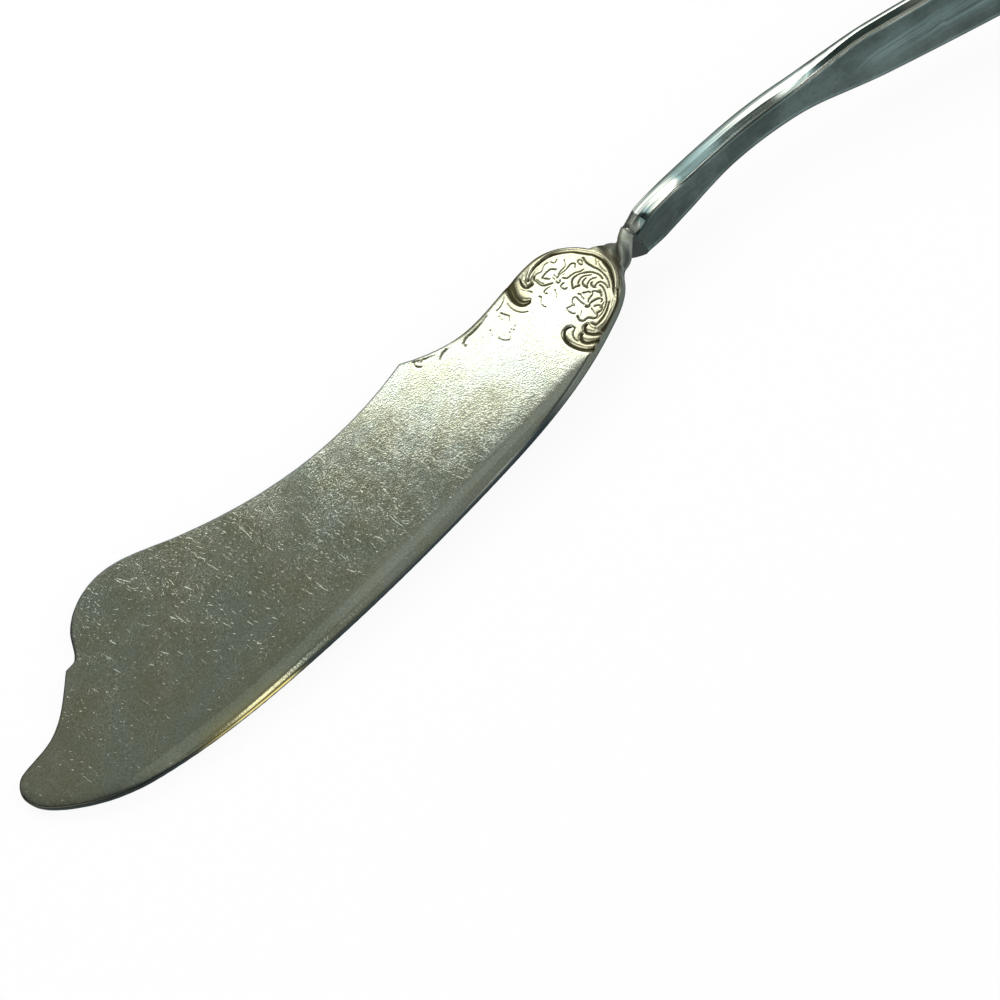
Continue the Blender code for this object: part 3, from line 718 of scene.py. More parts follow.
def bar_section(width, thick, corner, top, under):
    """Points round a bar with rounded corners, as (across, up), in the order of the blade's rings."""
    radius = min(corner, thick * 0.45, width * 0.45)
    over, below = insets(width, top), insets(width, under)
    up = thick / 2 - corner_drop(over, radius) - corner_drop(width - over, radius)
    down = corner_drop(below, radius) + corner_drop(width - below, radius) - thick / 2
    across = with_walls(width / 2 - over, -width / 2, below - width / 2, width / 2)
    return np.stack([across, round_section(up, down, WALL_SHARES)], axis=1)


def sweep(distance):
    """Place and heading on the line of the neck and handle, at a distance from the end of the blade."""
    x, y, heading, left = BLADE_LENGTH, NECK_Y, 0.0, distance
    for length, start, end in SWEEP:
        part = min(left, length)
        heading = start + (end - start) * part / length
        cuts = np.linspace(0.0, part, SWEEP_CUTS + 1)
        middle = np.radians(start + (end - start) * (cuts[1:] + cuts[:-1]) / 2 / length)
        x += float(np.sum(np.cos(middle))) * part / SWEEP_CUTS
        y += float(np.sum(np.sin(middle))) * part / SWEEP_CUTS
        left -= part
        if left <= 0.0:
            break
    return np.array([x, y, 0.0]), heading


def set_bar(section, place, heading, twist, ahead=0.0):
    """A bar's section set on its line, turned about it."""
    turn = Matrix.Rotation(math.radians(heading), 3, "Z") @ Matrix.Rotation(-math.radians(twist), 3, "X")
    flat = np.stack([np.full(len(section), ahead), section[:, 0], section[:, 1]], axis=1)
    return flat @ np.array(turn).T + place


def between(distance, places, values):
    """A size that runs smoothly through its values at named places, and never past them."""
    rises = np.diff(values) / np.diff(places)
    slopes = np.zeros(len(values))
    for i, (before, after) in enumerate(zip(rises, rises[1:]), start=1):
        if before * after > 0.0:
            slopes[i] = 2.0 * before * after / (before + after)
    i = min(max(int(np.searchsorted(places, distance)) - 1, 0), len(places) - 2)
    length = places[i + 1] - places[i]
    t = (distance - places[i]) / length
    size = values[i] * (2 * t**3 - 3 * t**2 + 1) + values[i + 1] * (3 * t**2 - 2 * t**3)
    return float(size + length * (slopes[i] * (t**3 - 2 * t**2 + t) + slopes[i + 1] * (t**3 - t**2)))


def twist_at(distance):
    """Twist at a distance from the end of the blade."""
    return between(max(distance, TWIST_PLACES[0]), TWIST_PLACES, TWIST_ANGLES)


def neck_rings():
    """Rings of the twisted neck and of the tang, with what the plating needs to know at each point."""
    places = (0.0, NECK_WAIST_AT, NECK_LENGTH)
    face = NECK_LENGTH - SOLDER_COLLAR / 2 - JOINT_GAP
    rings, marks = [], []
    for distance in np.linspace(NECK_LENGTH / NECK_RINGS, face, NECK_RINGS):
        place, _ = sweep(distance)
        heading = JOINT_HEADING * distance / NECK_LENGTH
        width = between(distance, places, (NECK_ROOT_WIDTH, NECK_WAIST_WIDTH, HANDLE_WIDTHS[0]))
        thick = between(distance, places, (SHOULDER_THICKNESS, NECK_WAIST_THICKNESS, HANDLE_THICKNESSES[0]))
        corner = CORNER + (NECK_CORNER - CORNER) * rise(distance, 0.0, NECK_WAIST_AT)
        section = bar_section(width, thick, corner, TOP_COLUMNS, UNDER_COLUMNS)
        rings.append(set_bar(section, place, heading, twist_at(distance)))
        over, below = insets(width, TOP_COLUMNS), insets(width, UNDER_COLUMNS)
        # Painted shade and dark reflection of the neck: a dark line and wedge on its top, its darkened walls
        # and lower side, and the blade end's painted shade carried on
        wedge = WEDGE_DARK[0] * bell(width - over, WEDGE_DARK[1])
        side = np.concatenate([
            np.maximum(rise(distance, NECK_LENGTH, 0.0) * bell(over, BACK_LINE), wedge),
            np.clip(between(distance, NECK_WALL_PLACES, NECK_WALL_DARK) + NECK_WALL_SPREAD, 0.0, 1.0),
            NECK_DARK * (1.0 - NECK_ARRIS_LIGHT[0] * bell(below, NECK_ARRIS_LIGHT[1])),
            np.ones(WALL_COLUMNS),
        ])
        plain = np.zeros_like(side)
        recess, matt = plain.copy(), np.full_like(side, NECK_MATT)
        recess[:TOP_COLUMNS], matt[:TOP_COLUMNS] = FISHTAIL_DARK, FISHTAIL_MATT * FISHTAIL_DARK
        marks.append(np.stack([recess, side, plain, plain, matt], axis=1))
    joint, _ = sweep(NECK_LENGTH)
    tang = bar_section(TANG_WIDTH, TANG_THICKNESS, TANG_CORNER, TOP_COLUMNS, UNDER_COLUMNS)
    for ahead in (-SOLDER_COLLAR / 2 - JOINT_GAP, TANG_LENGTH):
        rings.append(set_bar(tang, joint, JOINT_HEADING, TWIST, ahead))
        marks.append(marks[-1])
    return rings, marks


# Angle in degrees from which an edge shows as sharp
SHARP_ANGLE = 38.0


def skin(name, rings, closed=False):
    """Object skinned over rings of equal count, capped at both ends or closed on itself."""
    points = np.array(rings)
    rows, columns = points.shape[:2]
    index = np.arange(rows * columns).reshape(rows, columns)
    after = np.roll(index, -1, axis=0) if closed else index[1:]
    index = index if closed else index[:-1]
    quads = np.stack(
        [index, np.roll(index, -1, axis=1), np.roll(after, -1, axis=1), after], axis=-1
    ).reshape(-1, 4)
    faces = quads.tolist()
    if not closed:
        faces += [list(range(columns))[::-1], list(range((rows - 1) * columns, rows * columns))]
    mesh = bpy.data.meshes.new(name)
    mesh.from_pydata(points.reshape(-1, 3), [], faces)
    mesh.transform(REST)
    shell = bmesh.new()
    shell.from_mesh(mesh)
    bmesh.ops.recalc_face_normals(shell, faces=shell.faces)
    shell.to_mesh(mesh)
    shell.free()
    mesh.polygons.foreach_set("use_smooth", [True] * len(mesh.polygons))
    mesh.set_sharp_from_angle(angle=math.radians(SHARP_ANGLE))
    made = bpy.data.objects.new(name, mesh)
    bpy.context.scene.collection.objects.link(made)
    return made


def mark(piece, names, marks):
    """Keep named values at each point of a piece for its finish."""
    for i, name in enumerate(names):
        kept = piece.data.attributes.new(name, "FLOAT", "POINT")
        kept.data.foreach_set("value", np.array(marks, dtype=np.float32)[..., i].ravel())


def dress(piece, node, finish):
    """Give a piece its finish and let it stand for its solid in the frame."""
    piece.data.materials.append(finish)
    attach(piece, "root")
    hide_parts(node)


def handle_size(distance):
    """Width and thickness of the handle at a distance from the joint."""
    widest = HANDLE_PLACES[-1]
    along = min(distance, widest)
    past = max(distance - widest, 0.0) / (HANDLE_LENGTH - widest)
    width = between(along, HANDLE_PLACES, HANDLE_WIDTHS) * math.sqrt(max(1.0 - past**2, 0.0))
    if distance < HANDLE_PLACES[1]:
        widened = min(distance / ROOT_LENGTH, 1.0)
        width = HANDLE_WIDTHS[0] + (HANDLE_WIDTHS[1] - HANDLE_WIDTHS[0]) * widened
    return width, between(along, HANDLE_PLACES, HANDLE_THICKNESSES)


def edge_shares(fold):
    """Shares of the way down the handle's edges, close together at the fold of its bevel."""
    return np.concatenate([fold * ABOVE_FOLD, [fold], fold + (1.0 - fold) * BELOW_FOLD])


def handle_section(width, thick, corner, lean=0.0, fold=0.5, crown=0.0):
    """Points round the handle as (across, up): front, seen edge, back and lower edge."""
    radius = min(corner, thick * 0.4, width * 0.3)
    over, below = insets(width, FRONT_COLUMNS), insets(width - lean, BACK_COLUMNS)
    front = thick / 2 - corner_drop(over, radius) - corner_drop(width - over, radius)
    across_back = lean - width / 2 + below
    back = crown * (2.0 * across_back / width) ** 2 - thick / 2
    back += corner_drop(below, radius) + corner_drop(width - lean - below, radius)
    share = edge_shares(fold)
    seen = lean * np.maximum((share - fold) / (1.0 - fold), 0.0) - width / 2
    across = np.concatenate([width / 2 - over, seen, across_back, np.full(EDGE_COLUMNS, width / 2)])
    return np.stack([across, round_section(front, back, share)], axis=1)


def volute(middle, radius, start, turns, hand):
    """A line that winds into a scroll's eye, from its outer end."""
    wound = np.linspace(0.0, turns * 2.0 * math.pi, 90)
    r = radius * np.exp(-0.2 * wound)
    angle = math.radians(start) + hand * wound
    return np.stack([middle[0] + r * np.cos(angle), middle[1] + r * np.sin(angle)], axis=1)


def petals(middle, radius, count, turn=0.0):
    """The outline of an open blossom."""
    angle = np.linspace(0.0, 2.0 * math.pi, 200)
    r = radius * (0.55 + 0.45 * np.abs(np.cos(count * angle / 2.0)) ** 0.6)
    angle = angle + math.radians(turn)
    return np.stack([middle[0] + r * np.cos(angle), middle[1] + r * np.sin(angle)], axis=1)


def border(inset):
    """A line that follows the outline of the flat handle and its end."""
    start, widest = HANDLE_PLACES[3] + 3.0, HANDLE_PLACES[-1]
    along = np.linspace(start, widest, 160)
    half = np.array([handle_size(distance)[0] / 2 - inset for distance in along])
    angle = np.linspace(math.pi / 2, -math.pi / 2, 120)[1:-1]
    end = np.stack([
        widest + (HANDLE_LENGTH - widest - inset) * np.cos(angle),
        (HANDLE_WIDTHS[-1] / 2 - inset) * np.sin(angle),
    ], axis=1)
    side = np.stack([along, half], axis=1)
    return evenly(np.vstack([side, end, side[::-1] * (1.0, -1.0)]), 0.06)


# Leaves on each side of the handle's front: widths at the start and the end, and the places they run through
HANDLE_LEAVES = (
    (0.4, 0.3, ((98.4, 1.2), (97.6, 4.3), (94.2, 5.4), (90.4, 5.0), (87.2, 4.4), (86.4, 2.8))),
    (0.4, 0.12, ((82.0, 4.9), (79.0, 4.0), (75.4, 2.6), (71.5, 1.9), (66.0, 1.5))),
    (0.36, 0.16, ((85.6, 0.7), (83.2, 1.7), (80.2, 1.6), (78.2, 0.5))),
    (0.32, 0.14, ((80.0, 0.4), (77.4, 1.2), (74.6, 1.0), (72.8, 0.2))),
    (0.28, 0.12, ((75.4, 0.3), (72.6, 0.8), (69.6, 0.6), (67.6, 0.1))),
    (0.3, 0.14, ((26.4, 0.2), (29.4, 0.9), (32.6, 1.1), (35.4, 0.3))),
)
# Scrolls beside them: widths at the start and the end, then eye, radius, first angle, turns and hand
HANDLE_SCROLLS = (
    (0.42, 0.2, ((96.4, 2.9), 2.2, 200.0, 1.3, -1.0)),
    (0.46, 0.2, ((84.2, 3.6), 2.4, -20.0, 1.35, 1.0)),
    (0.28, 0.14, ((38.2, 1.2), 0.95, 180.0, 1.1, 1.0)),
)
# Blossom of the handle's front
BLOSSOM = (90.5, 0.0)
BLOSSOM_PETALS = 5
# How far the metal is raised beside its leaves and scrolls, how widely, and how deep they are cut
RAISED = 0.14
RAISED_SPREAD = 2.4
CUT = -0.11


def struck_handle(depth):
    """Threads, scrolls and a blossom struck into the front of the handle."""
    face = StruckFace(*HANDLE_GRID)
    # Threads of the border and rings of the blossom: line, width and height
    for line, width, height in (
        (border(0.62), 0.5, 0.16),
        (border(1.08), 0.3, -0.1),
        (petals(BLOSSOM, 1.5, BLOSSOM_PETALS), 2.2, 0.16),
        (petals(BLOSSOM, 2.5, BLOSSOM_PETALS), 0.26, -0.12),
        (petals(BLOSSOM, 0.75, BLOSSOM_PETALS, 180.0 / BLOSSOM_PETALS), 0.24, -0.1),
    ):
        face.draw(line, width, width, height * depth)
    for k in range(BLOSSOM_PETALS):
        turn = math.radians(360.0 / BLOSSOM_PETALS * k)
        ray = np.array([[math.cos(turn), math.sin(turn)]]) * np.linspace(1.0, 1.9, 30)[:, None]
        face.draw(ray + BLOSSOM, 0.2, 0.12, -0.07 * depth)
    lines = [(drawn_through(places), start, end) for start, end, places in HANDLE_LEAVES]
    lines += [(volute(*winding), start, end) for start, end, winding in HANDLE_SCROLLS]
    for side in (-1.0, 1.0):
        for line, start_width, end_width in lines:
            mirrored = line * (1.0, side)
            face.draw(mirrored, start_width * RAISED_SPREAD, end_width * RAISED_SPREAD, RAISED * depth)
            face.draw(mirrored, start_width, end_width, CUT * depth)
    face.settle(0.05 * depth, 0.3, 0.28)
    return face


def handle_marks(distance, section, width, thick, lean, fold, lines):
    """What the finish needs to know round one ring of the handle."""
    across, share = section[:FRONT_COLUMNS, 0], edge_shares(fold)
    inset = width / 2 - np.abs(across)
    # The front's darkening, partly tarnish and partly painted dark reflection, with a painted dark line along
    # its seen edge
    seen_edge = rise(distance, *FRONT_LINE_COMES) * bell(inset, FRONT_DARK_EDGE)
    front = np.where(
        across > 0.0,
        FRONT_DARK * (1.0 - bell(inset, FRONT_BRIGHT_EDGE)),
        FRONT_DARK + (1.0 - FRONT_DARK) * seen_edge,
    )
    # The upper edge's darkening, partly tarnish and partly painted dark reflection, in bands below and above
    # the fold of its bevel
    near = min(distance, STRIP_PLACES[-1])
    low, high = (between(near, STRIP_PLACES, dark) for dark in (STRIP_LOW_DARK, STRIP_HIGH_DARK))
    down = share * thick
    # Painted shade: a dark line along the top of the seen edge
    edge = np.maximum(np.where(share > fold, low, high), bell(down, TOP_DARK))
    # Painted shade lines along the upper edge: at its top, at its lower corner and at the fold of its bevel
    edge_shade_lines = TOP_LINE[0] * bell(down, TOP_LINE[1]) + LOW_LINE[0] * bell(thick - down, LOW_LINE[1])
    edge_shade_lines += FOLD_LINE[0] * rise(distance, *FOLD_LINE_GOES) * bell((share - fold) * thick, FOLD_LINE[1])
    below = insets(width - lean, BACK_COLUMNS)
    bright = (1.0 - STEM_FAINT_SHARE * span(distance, *STEM_FAINT)) * rise(distance, *BRIGHT_EDGE_COMES)
    # Painted highlight line inside the lower edge of the back
    rim = BACK_RIM[0] * bell(below[::-1] - BACK_RIM_INSET, BACK_RIM[1])
    back = 1.0 - np.maximum(bright * bell(below, BACK_BRIGHT_EDGE), rim)
    start = FRONT_COLUMNS + EDGE_COLUMNS
    # Painted highlight: the back is lighter along its middle, standing in for the soft highlight of its crown
    middle = bell(section[start:start + BACK_COLUMNS, 0], BACK_HIGHLIGHT_WIDTH_SHARE * width)
    back *= 1.0 - BACK_HIGHLIGHT_SHARE * span(distance, *BACK_HIGHLIGHT) * middle
    # Painted shade line at the lower edge of the back
    back_shade_lines = BACK_LOW_LINE[0] * bell(below[::-1], BACK_LOW_LINE[1])
    plain = np.zeros(EDGE_COLUMNS)
    recess = np.concatenate([lines, edge_shade_lines, back_shade_lines, plain])
    patina_and_painted_dark = np.concatenate([front, edge, back, plain])
    run = np.concatenate([[0.0], np.cumsum(np.hypot(*np.diff(section, axis=0).T))])
    return np.stack([recess, patina_and_painted_dark, np.full_like(run, distance * MM), run * MM], axis=1)


def handle_rings(struck, crown):
    """Rings along the outside of the handle with what its finish needs to know."""
    flare, flared, widest = HANDLE_PLACES[3], HANDLE_PLACES[4], HANDLE_PLACES[-1]
    distances = np.unique(np.round(np.concatenate([
        *(np.linspace(*stretch) for stretch in HANDLE_STRETCHES),
        ROOT_RINGS,
        widest + (HANDLE_LENGTH - widest) * np.sin(np.linspace(0.0, END_SHARE, END_RINGS) * math.pi / 2),
    ]), 6))
    rings, marks = [], []
    for distance in distances:
        place, heading = sweep(NECK_LENGTH + distance)
        width, thick = handle_size(distance)
        near = min(distance, EDGE_BEVEL_PLACES[-1])
        lean = between(near, EDGE_BEVEL_PLACES, EDGE_BEVELS) * min(1.0, width / 3.0)
        fold = between(near, EDGE_BEVEL_PLACES, EDGE_FOLDS)
        bulge = crown * rise(distance, flare, flared)
        section = handle_section(width, thick, HANDLE_CORNER, lean, fold, bulge)
        if distance < ROOT_UNDER_END:
            end = handle_size(ROOT_UNDER_END)[0] / 2
            under = between(distance, (*ROOT_UNDER_PLACES, ROOT_UNDER_END), (*ROOT_UNDER_HALVES, end))
            section[:, 0] *= np.where(section[:, 0] > 0.0, min(2.0 * under / width, 1.0), 1.0)
        across = section[:FRONT_COLUMNS, 0]
        where = (np.full_like(across, distance), across)
        inside = ease((width / 2 - np.abs(across)) / STRUCK_INSET)
        section[:FRONT_COLUMNS, 1] += inside * struck.read(struck.height, *where)
        rings.append(set_bar(section, place, heading, TWIST))
        lines = struck.read(struck.recess, *where)
        marks.append(handle_marks(distance, section, width, thick, lean, fold, lines))
    return rings, marks


def joint_ring(section, ahead):
    """A section set square on the line that runs on from the joint."""
    place, _ = sweep(NECK_LENGTH)
    return set_bar(section, place, JOINT_HEADING, TWIST, ahead)


class Wire:
    """One socket of a finish, so that sums on it become its Math nodes."""

    def __init__(self, finish, socket):
        self.finish, self.socket = finish, socket

    def other(self, output):
        """Another output of the same node."""
        return Wire(self.finish, self.socket.node.outputs[output])

    def math(self, operation, *values):
        return self.finish.node("ShaderNodeMath", {"operation": operation}, dict(enumerate(values)))

    def __add__(self, other):
        return self.math("ADD", self, other)

    def __sub__(self, other):
        return self.math("SUBTRACT", self, other)

    def __rsub__(self, other):
        return self.math("SUBTRACT", other, self)

    def __mul__(self, other):
        return self.math("MULTIPLY", self, other)

    def __pow__(self, other):
        return self.math("POWER", self, other)

    def __abs__(self):
        return self.math("ABSOLUTE", self)

    __radd__ = __add__
    __rmul__ = __mul__

    def over(self, low, high):
        """0 below low, 1 above high and smooth between them."""
        return self.finish.node(
            "ShaderNodeMapRange", {"interpolation_type": "SMOOTHSTEP"},
            {"Value": self, "From Min": low, "From Max": high},
        )

    def most(self, other):
        """The larger of two values."""
        return self.math("MAXIMUM", self, other)


class Finish:
    """A material whose nodes are added as they are named."""

    def __init__(self, name):
        self.material = bpy.data.materials.new(name)
        self.material.use_nodes = True
        self.tree = self.material.node_tree
        self.shader = self.tree.nodes["Principled BSDF"]
        self.place = self.node("ShaderNodeTexCoord", {}, {}, "Object")

    def node(self, kind, settings, sockets, output=0):
        """Add a node of a kind, with its settings and the values or links of its sockets."""
        made = self.tree.nodes.new(kind)
        for key, value in settings.items():
            setattr(made, key, value)
        for key, value in sockets.items():
            self.plug(made.inputs[key], value)
        return Wire(self, made.outputs[output])

    def plug(self, socket, value):
        """Link a wire to a socket, or set its value."""
        if isinstance(value, Wire):
            self.tree.links.new(value.socket, socket)
        elif isinstance(value, (int, float)):
            socket.default_value = value
        else:
            opaque = len(socket.default_value) == 4 and len(value) == 3
            socket.default_value = (*value, 1.0) if opaque else value

    def kept(self, name):
        """A value kept at the points of the piece."""
        return self.node("ShaderNodeAttribute", {"attribute_name": name}, {}, "Fac")

    def mix(self, share, first, second):
        """A colour between two colours."""
        return self.node("ShaderNodeMix", {"data_type": "RGBA"}, {0: share, 6: first, 7: second}, 2)

    def noise(self, size, detail=2.0, roughness=0.5, place=None):
        """Soft noise with blotches of about a size in millimetres."""
        return self.node("ShaderNodeTexNoise", {}, {
            "Vector": place or self.place, "Scale": 1.0 / (size * MM),
            "Detail": detail, "Roughness": roughness,
        })

    def scratches(self, cell, length, width, angle, spread, share, seed, upright=False):
        """One straight scratch in each cell of a net, with sizes in millimetres and its angle in degrees."""
        laid = self.node("ShaderNodeMapping", {"vector_type": "TEXTURE"}, {
            "Vector": self.place, "Location": (seed * 0.0137, seed * 0.0071, seed * 0.0093),
            "Rotation": (math.radians(90.0 if upright else 0.0), 0.0, 0.0), "Scale": (cell * MM,) * 3,
        })
        net = self.node(
            "ShaderNodeTexVoronoi", {"voronoi_dimensions": "2D"}, {"Vector": laid, "Scale": 1.0}, "Color"
        )
        turn = self.node("ShaderNodeSeparateColor", {}, {"Color": net})
        kept, strength = turn.other("Green"), turn.other("Blue")
        away = self.node(
            "ShaderNodeVectorMath", {"operation": "SUBTRACT"}, {0: laid, 1: net.other("Position")}
        )
        turned = self.node("ShaderNodeVectorRotate", {"rotation_type": "Z_AXIS"}, {
            "Vector": away, "Angle": angle - math.radians(spread) * (turn - 0.5),
        })
        along = self.node("ShaderNodeSeparateXYZ", {}, {"Vector": turned})
        across = abs(along.other("Y")).over(width / cell / 2.0, 0.0)
        line = across * abs(along).over(length / cell / 2.0, length / cell / 5.0)
        return line * kept.over(1.0 - share, 1.04 - share) * (0.1 + 0.9 * strength ** 4.0)

    def bump(self, height, depth):
        """A normal from a height, with its depth in millimetres."""
        sockets = {"Height": height, "Distance": depth * MM, "Strength": 1.0}
        return self.node("ShaderNodeBump", {}, sockets, "Normal")

    def set(self, **sockets):
        """Set or link sockets of the shader, named with _ for a space."""
        for key, value in sockets.items():
            self.plug(self.shader.inputs[key.replace("_", " ")], value)
        return self.material


def laid_over(scratches):
    """Several nets of scratches as one."""
    deepest = scratches[0]
    for net in scratches[1:]:
        deepest = deepest.most(net)
    return deepest


def blade_finish(look):
    """Worn plate of the blade: olive tarnish, fine scratches, tarnish in its struck recesses, sides darkened
    partly by tarnish and partly by painted dark reflection, painted shade at its end, belly, back band and
    round the struck lines, a bevel lightened as painted light, one rubbed edge.
    """
    finish = Finish("worn_blade_plate")
    recess, side = finish.kept("recess"), finish.kept("side")
    rubbed, field, matt = finish.kept("rubbed"), finish.kept("field"), finish.kept("matt")
    blotch = finish.noise(3.6, 5.0, 0.7).over(0.36, 0.64)
    cloud = finish.noise(7.0, 5.0, 0.65).over(0.38, 0.64)
    scuffed = finish.noise(4.5, 4.0, 0.7).over(0.34, 0.62)
    speck = finish.noise(0.15, 1.0, 0.5)
    grain = finish.noise(0.22, 3.0, 0.75)
    wander = (finish.noise(22.0, 1.0) - 0.5) * 1.6 - math.radians(104.0)
    cuts = laid_over([
        finish.scratches(2.7, 2.4, 0.05, wander, 36.0, 0.65, 1),
        finish.scratches(1.5, 1.3, 0.05, wander, 50.0, 0.8, 2),
        finish.scratches(0.85, 0.75, 0.05, wander, 60.0, 0.8, 3),
        finish.scratches(0.55, 0.42, 0.05, wander, 80.0, 0.8, 4),
        finish.scratches(0.36, 0.2, 0.06, wander, 120.0, 0.6, 5),
    ]) * (0.55 + 0.45 * scuffed)
    colour = finish.mix(blotch * 0.7, look.olive, look.silver)
    colour = finish.mix(cloud * 0.55, colour, look.teal)
    colour = finish.mix(grain.over(0.51, 0.33) * 0.75, colour, look.dull)
    # Painted light: the matt band of the bevel is lightened and given more bright specks
    ground = matt.over(0.05, 0.4)
    colour = finish.mix(grain.over(0.54, 0.74) * (0.3 + 0.6 * scuffed + 0.4 * ground), colour, look.bright)
    colour = finish.mix(ground * 0.3, colour, look.bright)
    colour = finish.mix(cuts * 0.4, colour, look.bright)
    # Painted shade round the struck lines, tinted cream
    colour = finish.mix(field * 0.8, colour, look.cream)
    # Sides, walls and outline darkened: partly tarnish, partly painted dark reflection and shade
    colour = finish.mix(side, colour, look.patina_and_painted_dark)
    # Tarnish in the struck recesses, and painted shade at the blade's end, belly, back band and round the
    # lines
    colour = finish.mix((recess + 0.22 * field) * 0.95, colour, look.tarnish)
    colour = finish.mix(rubbed, colour, look.brass)
    rough = 0.085 + 0.012 * blotch + 0.1 * cuts + 0.12 * recess + 0.16 * field + 0.14 * side + 0.15 * matt
    height = speck * (0.46 + 0.62 * scuffed) - cuts * 0.6
    return finish.set(
        Base_Color=colour, Metallic=1.0, Roughness=rough, Normal=finish.bump(height, look.scratch_depth),
        Specular_Tint=look.edge_tint,
    )


# Share of the handle's length that its streaks are drawn with
STREAK_STRETCH = 0.02
# Where along the handle its tarnish turns thin
HELD = (46.0, 78.0)


def handle_finish(look):
    """Plate of the handle: dark on its flats, partly tarnish and partly painted dark reflection; rubbed
    bright along its edges; dark in its struck lines and its painted shade lines; with painted glints and a
    painted blue-green sheen along its upper edge.
    """
    finish = Finish("worn_handle_plate")
    recess, patina_and_painted_dark = finish.kept("recess"), finish.kept("patina_and_painted_dark")
    blotch = finish.noise(7.0, 4.0, 0.65).over(0.33, 0.68)
    fine = finish.noise(0.4, 3.0, 0.6)
    along = (finish.noise(30.0, 1.0) - 0.5) * 1.2
    cuts = laid_over([
        finish.scratches(3.0, 2.2, 0.05, along, 50.0, 0.6, 5, upright=True),
        finish.scratches(1.2, 0.6, 0.05, along, 160.0, 0.6, 6, upright=True),
    ])
    drawn = finish.node("ShaderNodeCombineXYZ", {}, {
        "X": finish.kept("along") * STREAK_STRETCH, "Y": finish.kept("round"),
    })
    streak = finish.noise(0.16, 2.0, 0.6, drawn)
    lengthwise = finish.noise(0.5, 3.0, 0.6, drawn).over(0.3, 0.7)
    dark = finish.mix(blotch * 0.75 + lengthwise * 0.15, look.patina_and_painted_dark, look.patina_light)
    dark = finish.mix(fine.over(0.48, 0.75) * 0.5, dark, look.tarnish)
    held = finish.kept("along").over(*(place * MM for place in HELD))
    dark = finish.mix(held * (0.3 + 0.5 * blotch), dark, look.held)
    dark = finish.mix(cuts * 0.16, dark, look.silver)
    # Painted glints and sheen: streaks where the tarnish is thinner, and a blue-green sheen on the lightly
    # tarnished plate
    streaks_and_glints = 1.9 * patina_and_painted_dark * (1.0 - patina_and_painted_dark) * (lengthwise + 2.0 * streak - 1.5)
    light = finish.mix(patina_and_painted_dark.over(0.68, 0.9), look.silver, look.sheen)
    colour = finish.mix(patina_and_painted_dark + streaks_and_glints, light, dark)
    colour = finish.mix(recess * 0.9, colour, look.tarnish)
    rough = 0.15 + 0.08 * blotch + 0.1 * cuts + 0.25 * recess
    height = fine * 0.3 + streak * (1.85 - 1.6 * patina_and_painted_dark) - cuts - finish.noise(1.1, 2.0) * 0.4
    return finish.set(
        Base_Color=colour, Metallic=1.0, Roughness=rough, Normal=finish.bump(height, look.scratch_depth),
    )


def solder_finish(look):
    """Dull grey solder with pits, and a painted highlight on its bead."""
    finish = Finish("dull_hard_solder")
    blotch = finish.noise(0.6, 3.0).over(0.35, 0.7)
    pits = finish.noise(0.16, 3.0, 0.6)
    colour = finish.mix(blotch, look.grey, look.dark)
    # Painted highlight: the bead is near white
    colour = finish.mix(finish.kept("bead"), colour, look.bright)
    rough = 0.32 + 0.2 * blotch
    return finish.set(Base_Color=colour, Metallic=1.0, Roughness=rough, Normal=finish.bump(pits, 0.006))


# How much of the floor's white is its own, so that it stays white with a light shadow
FLOOR_GLOW = 0.9


def floor_finish(colour):
    """Matt white board with a hardly visible tooth, seen near white with a light shadow."""
    finish = Finish("white_board")
    tooth = finish.noise(1.6, 3.0)
    shade = finish.mix(tooth * 0.5, colour, tuple(0.985 * part for part in colour))
    finish.set(Base_Color=shade, Roughness=0.9, Specular_IOR_Level=0.1)
    path = finish.node("ShaderNodeLightPath", {}, {}, "Is Camera Ray")
    seen = path.most(path.other("Is Glossy Ray")).most(path.other("Is Transmission Ray"))
    white = finish.node("ShaderNodeEmission", {}, {"Color": (1.0, 1.0, 1.0), "Strength": 1.0})
    matt = Wire(finish, finish.shader.outputs["BSDF"])
    board = finish.node("ShaderNodeMixShader", {}, {0: seen * FLOOR_GLOW, 1: matt, 2: white})
    finish.plug(finish.tree.nodes["Material Output"].inputs["Surface"], board)
    return finish.material


def colour_property(name, description, default):
    """A colour that a user may change."""
    return FloatVectorProperty(
        name=name, description=description, default=default, subtype="COLOR", min=0.0, max=1.0
    )


def length_property(name, description, default):
    """A small length that a user may change."""
    return FloatProperty(name=name, description=description, default=default, unit="LENGTH", precision=5)


def relief_property():
    """The depth of a struck face, which a user may change."""
    return FloatProperty(
        name="Relief", description="Depth of the struck lines, as a share of new ones", default=1.0,
        subtype="FACTOR", min=0.0, max=1.5,
    )


def scratch_property(default):
    """The depth of scratches, which a user may change."""
    return FloatProperty(
        name="Scratch depth", description="Depth of the fine scratches in millimetres", default=default,
        precision=4,
    )


